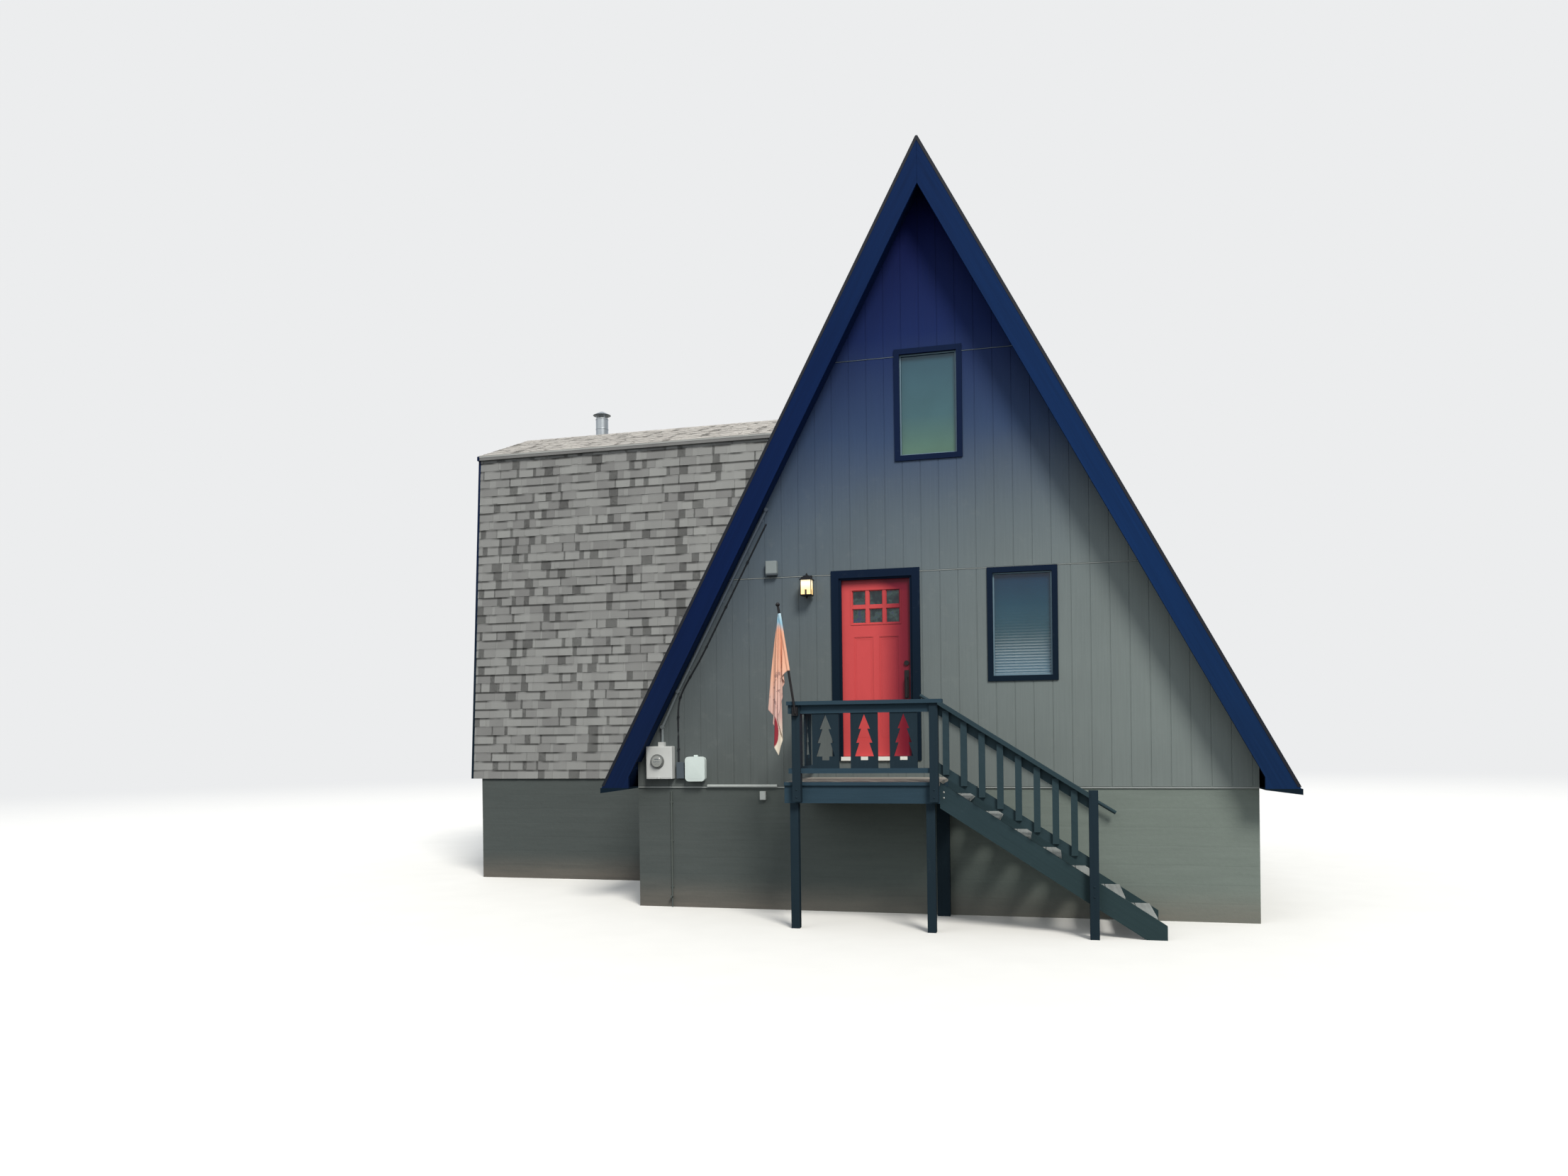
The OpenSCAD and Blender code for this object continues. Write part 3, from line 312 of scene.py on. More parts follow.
def block_finish():
    """Painted block wall with faint uneven courses, dusty at the foot."""
    f = Finish("painted_block", 0.9, shine=0.08)
    wave = f.noise(2.0, 3)
    course = (f.z / 0.2032 + wave * 0.12).frac()
    joint = course.step(0.0, 0.08) * (1.0 - course.step(0.92, 1.0))
    rough = f.noise(22.0, 5, 0.65)
    streak = f.noise(1.0, 4, 0.6, f.stretched((1.3, 1.3, 13)))
    # Lighter towards the right: painted light.
    colour = f.mix(f.x.step(-3.2, 2.6), srgb(76, 82, 81), srgb(113, 123, 117))
    foot = (1.0 - f.z.step(0.0, 0.42)) * (0.4 + streak * 0.6)
    colour = f.mix(foot * 0.7, colour, srgb(116, 108, 99))
    colour = f.shade(colour, 0.78 + rough * 0.12 + joint * 0.02 + streak * 0.26)
    return f.done(colour, 0.8 + rough * 0.15,
                  (rough * 0.5 + joint * 0.12 + streak * 0.4, 0.006, 0.6))


def timber_finish(name, low, high, along, span=(0.0, 8.0), turn=0.0):
    """Painted timber, its grain along one axis after a turn about Y, its colour by height."""
    f = Finish(name, 0.6, shine=0.06)
    scale = [46.0, 46.0, 46.0]
    scale[along] = 1.8
    grain = f.noise(1.0, 4, 0.6, f.stretched(scale, turn))
    cloud = f.noise(1.4, 4, 0.6)
    colour = f.mix(f.z.step(*span), srgb(*low), srgb(*high))
    colour = f.mix(f.noise(11.0, 5, 0.7).step(0.6, 0.8) * 0.12, colour, srgb(86, 96, 102))
    return f.done(f.shade(colour, 0.76 + grain * 0.26 + cloud * 0.24),
                  0.52 + grain * 0.2, (grain, 0.0014, 0.7))


def rake_finish():
    """Deep navy boards, lighter towards the right-hand foot, with long faint streaks."""
    f = Finish("rake_paint", 0.6, shine=0.06)
    f.place = f.vector(f.x.math("ABSOLUTE"), f.y, f.z)
    streak = f.noise(1.0, 4, 0.6, f.stretched((40, 40, 1.1), math.pi / 2 - PITCH))
    colour = f.mix(f.x.step(-3.4, 3.4), srgb(6, 25, 65), srgb(14, 44, 86))
    colour = f.mix(f.z.step(1.6, 4.2), f.mix(0.35, colour, srgb(20, 34, 50)), colour)
    return f.done(f.shade(colour, 0.7 + streak * 0.5), 0.5 + streak * 0.2, (streak, 0.0014, 0.7))


def shingle_finish(name, dark, light):
    """Asphalt shingles: tabs of their own tint, with broken dark lines at the butts, partly printed
    shadow bands and partly painted shadow.
    """
    f = Finish(name, 0.92, shine=0.2)
    tint = f.attribute("tint")
    course = f.attribute("course")
    row = course.math("FLOOR")
    part = course.frac()
    grit = f.noise(420.0, 2, 0.8)
    patch = f.noise(0.5, 3)
    # The dark band just below each butt is partly the printed band of laminated shingles and partly
    # painted shadow of the course above.
    dash = f.noise(2.6, 2, 0.5, f.vector(f.x, f.y, row * 3.7)).step(0.4, 0.58)
    band = part.step(0.7, 0.88) * (0.1 + dash * 0.62)
    mottle = f.noise(1.8, 3, 0.6, f.vector(f.x, f.y, row * 1.9))
    blend = (tint * 0.55 + mottle * 0.5 + patch * 0.4 + (grit - 0.5) * 0.4 - 0.22).clamp()
    colour = f.mix(blend, srgb(*dark), srgb(*light))
    colour = f.mix(f.x.step(-7.0, -2.0), f.shade(colour, 0.9), colour)
    colour = f.shade(colour, (1.0 - band) * (0.84 + grit * 0.32))
    return f.done(colour, 0.86 + grit * 0.1, (grit, 0.0012, 0.6))


def plain_finish(name, colour, roughness, metallic, change, fine=30.0):
    """A painted or cast surface with slight changes of tone."""
    f = Finish(name, roughness, metallic, shine=0.4)
    soft = f.noise(fine / 6, 4)
    hard = f.noise(fine, 4, 0.65)
    return f.done(f.shade(srgb(*colour), 1.0 - change + (soft + hard) * change),
                  roughness - 0.05 + hard * 0.12, (hard, 0.0006, 0.5))


def door_finish():
    """Red door paint, with painted shade that darkens it towards the latch side and under the head.
    """
    f = Finish("door_paint", 0.45, coat=0.05, shine=0.2)
    soft = f.noise(1.6, 4)
    hard = f.noise(9.0, 4, 0.65)
    # Painted shade: darker towards the latch side, where the jamb shades the slab, and in a strip
    # under the head.
    deep = (f.x.step(-0.62, -0.22) * 0.95 + f.z.step(3.66, 3.82) * 0.7).clamp()
    colour = f.mix(deep, srgb(194, 72, 73), srgb(104, 16, 38))
    return f.done(f.shade(colour, 0.92 + (soft + hard) * 0.08),
                  0.36 + hard * 0.12, (hard, 0.0006, 0.5))


def box_finish():
    """A grey plastic box with a darker foot."""
    f = Finish("wall_box", 0.6, shine=0.3)
    hard = f.noise(40.0, 4, 0.65)
    foot = 1.0 - f.z.step(3.915, 3.935)
    colour = f.mix(foot, srgb(128, 137, 138), srgb(62, 70, 76))
    return f.done(f.shade(colour, 0.92 + hard * 0.14), relief=(hard, 0.0006, 0.5))


def pipe_finish():
    """Pipes: painted like the block wall low down, weathered metal above that goes darker and bluer
    with height, partly painted shade under the rake, and a pale duct.
    """
    f = Finish("service_pipe", 0.6, 0.15, shine=0.3)
    hard = f.noise(34.0, 4, 0.65)
    above = f.z.step(1.39, 1.43)
    right = f.x.step(-2.75, -2.62)
    duct = right * (1.0 - f.z.step(1.47, 1.5))
    # Higher up the metal goes darker and bluer: partly painted shade under the rake.
    colour = f.mix(above, srgb(84, 91, 88), f.mix(f.z.step(1.9, 4.0), srgb(120, 128, 130),
                                                  srgb(98, 110, 124)))
    colour = f.mix(duct, colour, srgb(180, 186, 183))
    return f.done(f.shade(colour, 0.88 + hard * 0.22), 0.52 + hard * 0.14, (hard, 0.0008, 0.5))


def wood_finish(name, light, dark, along):
    """Worn boards, each with its own tone."""
    f = Finish(name, 0.75, shine=0.25)
    scale = [30.0, 30.0, 30.0]
    scale[along] = 1.2
    grain = f.noise(1.0, 5, 0.65, f.stretched(scale))
    wear = f.noise(5.0, 4, 0.6)
    tint = f.attribute("tint")
    blend = (grain.step(0.3, 0.75) * 0.6 + tint * 0.4).clamp()
    colour = f.mix(blend, srgb(*light), srgb(*dark))
    return f.done(f.shade(colour, 0.8 + wear * 0.34),
                  0.65 + grain * 0.2, (grain, 0.0016, 0.8))


def window_finish():
    """Window glass coloured with painted reflection in greens and blues; denser high up and clearer
    at the foot of the lower panes, where less reflection is painted.
    """
    f = Finish("window_pane", 0.03, coat=0.3)
    soft = f.noise(3.0, 3)
    lower = 1.0 - f.z.step(4.2, 4.9)
    low_part = ((f.z - 2.69) / 1.11).clamp()
    high_part = ((f.z - 5.2) / 1.12).clamp()
    # Both colour ramps are painted reflection of trees and sky on the glass.
    low_reflection = f.ramp(low_part, (0.0, srgb(82, 126, 148)), (0.35, srgb(56, 92, 104)),
                        (0.7, srgb(22, 64, 82)), (1.0, srgb(10, 46, 74)))
    high_reflection = f.ramp(high_part, (0.0, srgb(84, 118, 100)), (0.4, srgb(60, 98, 106)),
                         (1.0, srgb(46, 82, 98)))
    colour = f.mix(lower, high_reflection, low_reflection)
    # Less painted reflection at the foot of the lower panes, so the blinds show through there.
    clear = low_part.step(0.25, 0.7) * 0.5 + 0.38
    f.set("Alpha", 0.86 + lower * (clear - 0.86))
    return f.done(f.shade(colour, 0.84 + soft * 0.32), relief=(f.noise(2.5, 2), 0.0006, 0.4))


def lite_finish():
    """The door's small panes, dark with soft patches."""
    f = Finish("door_pane", 0.04, coat=0.3)
    patch = f.noise(9.0, 3, 0.6)
    colour = f.ramp(patch, (0.3, srgb(14, 20, 28)), (0.47, srgb(26, 40, 42)),
                    (0.57, srgb(50, 70, 66)), (0.7, srgb(44, 46, 84)))
    f.set("Alpha", 0.88 + patch * 0.08)
    return f.done(colour, relief=(f.noise(2.5, 2), 0.0006, 0.4))


def dome_finish():
    """The meter's clear dome."""
    f = Finish("meter_dome", 0.04, coat=0.4)
    f.set("Alpha", 0.2 + f.noise(12.0, 2) * 0.06)
    return f.done(f.shade(srgb(168, 174, 174), 0.9 + f.noise(30.0, 2) * 0.2))


def glow_finish():
    """Seeded lantern glass round a candle, lit from inside."""
    f = Finish("lit_glass", 0.3)
    low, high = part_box("lantern_glass")
    middle = (low + high) / 2
    seeds = f.noise(60.0, 3)
    stem = (f.x.near(middle.x, 0.008, 0.008) + f.y.near(middle.y, 0.008, 0.008)).clamp()
    stem = stem * (1.0 - f.z.step(low.z + 0.05, low.z + 0.065))
    rise = ((f.z - low.z) / (high.z - low.z)).clamp()
    warm = f.mix(rise.step(0.2, 0.8), srgb(255, 214, 140), srgb(255, 240, 205))
    colour = f.mix(stem, f.mix(seeds * 0.4, warm, srgb(250, 214, 150)), srgb(40, 34, 30))
    f.set("Emission Color", colour)
    f.set("Emission Strength", 0.85)
    return f.done(colour, relief=(seeds, 0.001, 0.5))


def flag_finish():
    """Printed cloth in soft slanting bands of blue, peach and cream with a dark red spot."""
    f = Finish("flag_print", 0.85, shine=0.2)
    across, down = f.split(f.node("ShaderNodeUVMap", uv_map="cut"))[:2]
    wavy = across * 0.39 + down * 0.61 + (f.noise(5.0, 3) - 0.5) * 0.12
    colour = f.ramp(wavy, (0.0, srgb(206, 222, 226)), (0.1, srgb(140, 184, 204)),
                    (0.17, srgb(222, 166, 138)), (0.42, srgb(222, 172, 147)),
                    (0.56, srgb(214, 176, 162)), (0.75, srgb(206, 168, 160)),
                    (0.9, srgb(218, 208, 190)))
    swirl = f.noise(15.0, 3, 0.6).step(0.55, 0.62) * wavy.step(0.38, 0.46)
    colour = f.mix(swirl * (1.0 - wavy.step(0.62, 0.7)) * 0.6, colour, srgb(112, 76, 80))
    off_x = (across - 0.62) * 0.61
    off_z = (down - 0.93) * 1.08
    spot = 1.0 - (off_x * off_x + off_z * off_z).math("SQRT").step(0.14, 0.158)
    colour = f.mix(spot, colour, srgb(136, 44, 54))
    weave = f.noise(900.0, 2)
    return f.done(f.shade(colour, 0.85 + weave * 0.3), relief=(weave, 0.0004, 0.5))


STAIR_PITCH = math.atan(0.6416)

# Finishes that share a maker: its arguments, by key
MADE = {
    timber_finish: {
        "soffit": ("soffit_paint", (26, 46, 80), (20, 36, 76), 1),
        "trim": ("trim_paint", (13, 27, 38), (12, 27, 56), 2, (2, 6)),
        "porch": ("porch_paint", (38, 56, 66), (44, 63, 75), 0, (0.0, 1.6)),
        "stair": ("stair_paint", (42, 58, 61), (44, 60, 67), 0, (0.0, 2.4), -STAIR_PITCH),
        "post": ("post_paint", (28, 41, 49), (32, 46, 55), 2, (0.0, 2.4)),
    },
    shingle_finish: {
        "shingle": ("roof_shingles", (104, 104, 104), (150, 152, 150)),
        "pale_shingle": ("upper_shingles", (158, 154, 149), (188, 185, 179)),
    },
    wood_finish: {
        "deck": ("deck_boards", (150, 150, 144), (124, 117, 108), 0),
        "tread": ("tread_boards", (150, 155, 154), (118, 122, 120), 1),
        "floor": ("floor_timber", (196, 160, 116), (150, 114, 76), 1),
    },
    plain_finish: {
        "black": ("black_metal", (20, 20, 23), 0.5, 0.2, 0.12, 60.0),
        "drip": ("drip_metal", (20, 24, 34), 0.5, 0.3, 0.12),
        "bright": ("bright_metal", (156, 158, 155), 0.5, 0.3, 0.12),
        "pale": ("pale_enamel", (196, 208, 205), 0.45, 0.0, 0.05),
        "meter": ("meter_enamel", (190, 193, 191), 0.5, 0.0, 0.08),
        "dial": ("dial_face", (150, 152, 148), 0.6, 0.0, 0.05),
        "link": ("link_enamel", (70, 80, 88), 0.5, 0.0, 0.1),
        "ring": ("meter_ring", (120, 122, 120), 0.45, 0.5, 0.1),
        "flashing": ("flashing_metal", (150, 156, 154), 0.5, 0.3, 0.15),
        "joint": ("painted_flashing", (84, 98, 112), 0.5, 0.1, 0.2),
        "flue": ("galvanised", (168, 174, 178), 0.42, 0.85, 0.14, 24.0),
        "white": ("threshold_paint", (222, 222, 214), 0.55, 0.0, 0.06),
        "blind": ("blind_slats", (226, 228, 226), 0.5, 0.0, 0.04),
        "sash": ("sash_vinyl", (98, 124, 138), 0.5, 0.0, 0.06),
        "cable": ("cable_sheath", (20, 24, 30), 0.55, 0.0, 0.1, 50.0),
    },
}
SINGLE = {
    "siding": siding_finish, "block": block_finish, "rake": rake_finish, "door": door_finish,
    "wall_box": box_finish, "pipe": pipe_finish, "glass": window_finish, "lite": lite_finish,
    "meter_glass": dome_finish, "glow": glow_finish, "flag": flag_finish,
}


def make_finishes():
    """Makes every finish once."""
    for maker, rows in MADE.items():
        FINISHES.update({key: maker(*row) for key, row in rows.items()})
    FINISHES.update({key: maker() for key, maker in SINGLE.items()})


def finish_of(key):
    """A finish's material."""
    return FINISHES[key].material


# Mesh helpers


def mesh_of(bm, name):
    """The mesh of a bmesh, which is then freed."""
    mesh = bpy.data.meshes.new(name)
    bm.to_mesh(mesh)
    bm.free()
    return mesh


def take(bm, mesh):
    """Adds a mesh to a bmesh and removes the mesh."""
    bm.from_mesh(mesh)
    bpy.data.meshes.remove(mesh)
    return bm


def join(bm, part):
    """Adds one bmesh to another and frees it."""
    take(bm, mesh_of(part, "part"))


def linked(name, data):
    """A new object in the scene."""
    item = bpy.data.objects.new(name, data)
    bpy.context.scene.collection.objects.link(item)
    return item


def new_piece(name, bm, finish, slot, **more):
    """Makes a piece from a bmesh and gives it its finish and body."""
    return add_piece(name, mesh_of(bm, name), finish, slot, **more)


def add_piece(name, mesh, finish, slot, body=HOUSE, replaces=(), smooth=False):
    """Links a mesh as a piece and gives it its finish and body; the slot is not used."""
    piece = linked(name, mesh)
    mesh.materials.clear()
    mesh.materials.append(finish_of(finish))
    for face in mesh.polygons:
        face.use_smooth = smooth
    if replaces:
        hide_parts(*replaces)
    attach(piece, body)
    return piece


def baked(piece):
    """The evaluated mesh of an object, which is then removed."""
    bpy.context.view_layer.update()
    depsgraph = bpy.context.evaluated_depsgraph_get()
    mesh = bpy.data.meshes.new_from_object(piece.evaluated_get(depsgraph), depsgraph=depsgraph)
    bpy.data.objects.remove(piece)
    return mesh


def add_box(bm, low, high, matrix=None):
    """A closed box between two corners."""
    low, high = Vector(low), Vector(high)
    place = Matrix.Translation((low + high) / 2) @ Matrix.Diagonal((*(high - low), 1))
    if matrix:
        place = matrix @ place
    return bmesh.ops.create_cube(bm, size=1, matrix=place)["verts"]


def add_block(bm, at, size):
    """A closed box of that size round a point."""
    half = Vector(size) / 2
    return add_box(bm, Vector(at) - half, Vector(at) + half)


def add_round(bm, radius, depth, matrix, segments, top=None):
    """A closed cylinder or cone along the matrix's Z axis, centred on it."""
    return bmesh.ops.create_cone(bm, cap_ends=True, segments=segments, radius1=radius,
                                 radius2=radius if top is None else top, depth=depth,
                                 matrix=matrix)["verts"]


def bevelled(bm, width, segments=2, angle=30):
    """Rounds the sharp edges of a bmesh."""
    edges = [e for e in bm.edges if len(e.link_faces) == 2
             and e.calc_face_angle(0) > math.radians(angle)]
    bmesh.ops.bevel(bm, geom=edges, offset=width, segments=segments, profile=0.6,
                    affect="EDGES", clamp_overlap=True)
    return bm


def add_ring(bm, size, rim, depth, matrix):
    """A flat frame in x and z, its back on the matrix's plane and its face towards -Y."""
    loops = []
    for inset, y in ((0, 0), (0, -depth), (rim, -depth), (rim, 0)):
        x, z = size[0] / 2 - inset, size[1] / 2 - inset
        loops.append([bm.verts.new(matrix @ Vector(corner))
                      for corner in ((-x, y, -z), (x, y, -z), (x, y, z), (-x, y, z))])
    for i, loop in enumerate(loops):
        after = loops[(i + 1) % 4]
        for k in range(4):
            bm.faces.new((loop[k], loop[(k + 1) % 4], after[(k + 1) % 4], after[k]))


def add_strip(bm, start, end, low, high):
    """A box along the line from start to end, with its section from low to high in y and up."""
    start, end = Vector(start), Vector(end)
    along = (end - start).normalized()
    across = Vector((0, 1, 0))
    matrix = Matrix((along, across, along.cross(across))).transposed().to_4x4()
    matrix.translation = start
    return add_box(bm, (0, low[0], low[1]), ((end - start).length, high[0], high[1]), matrix)


def rounded_box(name, low, high, finish, width):
    """A service box with rounded edges as a piece."""
    bm = bmesh.new()
    add_box(bm, low, high)
    bevelled(bm, width, 3)
    new_piece(name, bm, finish, slot="service_grey")


def tube(bm, points, radius, sides=8):
    """A closed tube along points."""
    rings = []
    for i, point in enumerate(points):
        along = points[min(i + 1, len(points) - 1)] - points[max(i - 1, 0)]
        turn = along.to_track_quat("Z", "Y").to_matrix()
        spokes = [turn @ Vector((radius * math.cos(a), radius * math.sin(a), 0))
                  for a in (math.tau * k / sides for k in range(sides))]
        rings.append([bm.verts.new(point + spoke) for spoke in spokes])
    for first, second in zip(rings, rings[1:]):
        for k in range(sides):
            bm.faces.new((first[k], first[(k + 1) % sides], second[(k + 1) % sides], second[k]))
    bm.faces.new(rings[0][::-1])
    bm.faces.new(rings[-1])


def outward(bm):
    """Turns every face outwards."""
    bmesh.ops.recalc_face_normals(bm, faces=bm.faces)
    return bm


def slice_at(bm, point, normal, near=1e-5, outer=False):
    """Cuts a bmesh at a plane and, with outer, drops what is on the normal's side."""
    geometry = bm.verts[:] + bm.edges[:] + bm.faces[:]
    return bmesh.ops.bisect_plane(bm, geom=geometry, dist=near, plane_co=point,
                                  plane_no=normal, clear_outer=outer)


def cut_away(bm, point, normal):
    """Drops what is on the normal's side of a plane and closes the cut."""
    made = slice_at(bm, point, normal, outer=True)
    edges = [e for e in made["geom_cut"] if isinstance(e, bmesh.types.BMEdge) and e.is_boundary]
    if edges:
        bmesh.ops.edgenet_fill(bm, edges=edges)


def drop_faces(bm, inside):
    """Deletes the faces whose middle passes a test."""
    faces = [f for f in bm.faces if inside(f.calc_center_median())]
    bmesh.ops.delete(bm, geom=faces, context="FACES")


def gambrel(half, top):
    """The planes of the wing's section: a point and a normal, in width and height."""
    planes = []
    for side in (-1, 1):
        planes.append(((side * half, FOUND_TOP),
                       (side * math.cos(WING_LEAN), math.sin(WING_LEAN))))
        planes.append(((0, top), (side * math.sin(WING_PITCH), math.cos(WING_PITCH))))
    return planes


def solids_of(node):
    """The corners of each loose solid of a CAD node."""
    bm = bmesh.new()
    bm.from_mesh(NODES[node].data)
    bmesh.ops.remove_doubles(bm, verts=bm.verts, dist=1e-5)
    left, boxes = set(bm.verts), []
    while left:
        group, queue = set(), [left.pop()]
        while queue:
            vert = queue.pop()
            group.add(vert)
            for edge in vert.link_edges:
                other = edge.other_vert(vert)
                if other in left:
                    left.remove(other)
                    queue.append(other)
        places = [v.co.copy() for v in group]
        boxes.append((Vector(map(min, *places)), Vector(map(max, *places))))
    bm.free()
    return sorted(boxes, key=lambda pair: tuple(pair[0]))


# Siding

# How near a plane a vertex counts as on it, where sheets are cut
FINE = 1e-6


def siding_sheet(name, matrix, reach, heights, planes, holes, sett):
    """Grooved siding on one wall, drawn in x and z, with its face looking along -Y."""
    bm = bmesh.new()
    first = math.floor((reach[0] - sett.groove_phase) / sett.groove_pitch)
    last = math.ceil((reach[1] - sett.groove_phase) / sett.groove_pitch)
    half = sett.groove_width / 2
    for i in range(first, last + 1):
        left = max(sett.groove_phase + i * sett.groove_pitch + half, reach[0])
        right = min(sett.groove_phase + (i + 1) * sett.groove_pitch - half, reach[1])
        if right - left > 0.02:
            corners = [(left, heights[0]), (right, heights[0]), (right, heights[-1]),
                       (left, heights[-1])]
            bm.faces.new([bm.verts.new((x, 0, z)) for x, z in corners])
    for point, normal in planes:
        slice_at(bm, point, normal, FINE, True)
    for x0, x1, z0, z1 in holes:
        for x in (x0, x1):
            slice_at(bm, (x, 0, 0), (1, 0, 0), FINE)
        for z in (z0, z1):
            slice_at(bm, (0, 0, z), (0, 0, 1), FINE)
        drop_faces(bm, lambda middle: x0 < middle.x < x1 and z0 < middle.z < z1)
    for z in heights[1:-1]:
        for edge in (z - sett.joint_gap / 2, z + sett.joint_gap / 2):
            slice_at(bm, (0, 0, edge), (0, 0, 1), FINE)
        drop_faces(bm, lambda middle: abs(middle.z - z) < sett.joint_gap / 2)
    bmesh.ops.dissolve_limit(bm, angle_limit=math.radians(1), verts=bm.verts, edges=bm.edges)
    for face in bm.faces:
        face.normal_update()
        if face.normal.y > 0:
            face.normal_flip()
    bmesh.ops.inset_region(bm, faces=bm.faces[:], thickness=sett.groove_slope,
                           depth=sett.groove_depth, use_even_offset=True, use_boundary=True)
    bmesh.ops.transform(bm, matrix=matrix, verts=bm.verts)
    new_piece(name, bm, "siding", slot="siding")


class CabinSiding(bpy.types.PropertyGroup):
    """Sizes of the grooved siding."""

    groove_pitch: FloatProperty(name="Groove pitch", description="Distance between grooves",
                                default=0.2032, unit="LENGTH")
    groove_phase: FloatProperty(name="Groove start", description="Place of the first groove",
                                default=0.165, unit="LENGTH")
    groove_width: FloatProperty(name="Groove width", description="Width of a groove",
                                default=0.008, unit="LENGTH")
    groove_slope: FloatProperty(name="Groove slope", description="Width of a groove's sloped side",
                                default=0.002, unit="LENGTH")
    groove_depth: FloatProperty(name="Groove depth", description="Depth of a groove",
                                default=0.004, unit="LENGTH")
    joint_gap: FloatProperty(name="Joint gap", description="Gap between sheets over the flashing",
                             default=0.012, unit="LENGTH")
    sheet: FloatProperty(name="Sheet height", description="Height of a full sheet",
                         default=2.44, unit="LENGTH")


class CABIN_OT_siding(bpy.types.Operator):
    """Lays grooved sheets with flashed joints on the gables and the wing's end"""

    bl_idname = "cabin.siding"
    bl_label = "Siding"

    def execute(self, context):
        """Makes the sheets and the joint flashings."""
        sett = context.scene.cabin.siding
        foot = FOUND_TOP + 0.004
        heights = [foot, JOINT_Z, JOINT_Z + sett.sheet, APEX_Z]
        inner = APEX_Z - ROOF_T / math.cos(PITCH)
        gable = [((0, 0, inner), (side * math.sin(PITCH), 0, math.cos(PITCH)))
                 for side in (1, -1)]
        frames = self.frames()
        for label, y, turn in (("front", WALL_Y, 0), ("back", BACK_Y, math.pi)):
            wall = Matrix.Translation((0, y, 0)) @ Matrix.Rotation(turn, 4, "Z")
            siding_sheet("siding_" + label, wall, (-HALF_W, HALF_W), heights, gable,
                         frames[label], sett)
        end = Matrix.Translation((WING_END_X, WING_Y, 0)) @ Matrix.Rotation(-math.pi / 2, 4, "Z")
        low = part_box("wing_wall_lower")
        inner_q = (low[1].y - low[0].y) / 2
        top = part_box("wing_wall_upper")[1].z
        section = [((q, 0, z), (a, 0, b)) for (q, z), (a, b) in gambrel(inner_q, top)]
        siding_sheet("siding_wing_end", end, (-inner_q, inner_q),
                     [foot, JOINT_Z, top + 0.1], section, frames["wing"], sett)
        self.joint_flashings(inner, sett)
        return {"FINISHED"}

    def frames(self):
        """The outer edges of the trim round each opening, wall by wall."""
        rings = {"front": [], "back": [], "wing": []}
        for low, high in solids_of("front_windows"):
            rings["front"].append((low.x, high.x, low.z, high.z))
        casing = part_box("door_frame")
        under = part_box("door_threshold")
        rings["front"].append((casing[0].x, casing[1].x, under[0].z, casing[1].z))
        for low, high in solids_of("rear_windows"):
            if low.y > BACK_Y - 1:
                rings["back"].append((-high.x, -low.x, low.z, high.z))
            else:
                rings["wing"].append((WING_Y - high.y, WING_Y - low.y, low.z, high.z))
        return rings

    def joint_flashings(self, inner, sett):
        """Thin metal strips in the joints between the sheets, the upper ones painted."""
        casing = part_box("door_frame")
        for z, name, finish in ((JOINT_Z, "joint_flashings", "flashing"),
                                (JOINT_Z + sett.sheet, "upper_flashings", "joint")):
            bm = bmesh.new()
            half = (inner - z) / math.tan(PITCH) - 0.004
            for y, out in ((WALL_Y, -1), (BACK_Y, 1)):
                ends = sorted((y, y + out * (sett.groove_depth + 0.004)))
                spans = [(-half, half)]
                if out < 0 and z < casing[1].z + 0.02:
                    spans = [(-half, casing[0].x), (casing[1].x, half)]
                windows = solids_of("front_windows" if out < 0 else "rear_windows")
                for left, right in self.clear_of(spans, windows, z):
                    add_box(bm, (left, ends[0], z - 0.003), (right, ends[1], z + 0.003))
            new_piece(name, bm, finish, slot="flashing")

    def clear_of(self, spans, frames, z):
        """Spans of a strip that miss the frames at that height."""
        for low, high in frames:
            if low.y > -1 and low.z < z < high.z and high.x - low.x < 1:
                spans = [part for left, right in spans
                         for part in ((left, min(right, low.x)), (max(left, high.x), right))
                         if part[1] - part[0] > 0.01]
        return spans


# Shingles


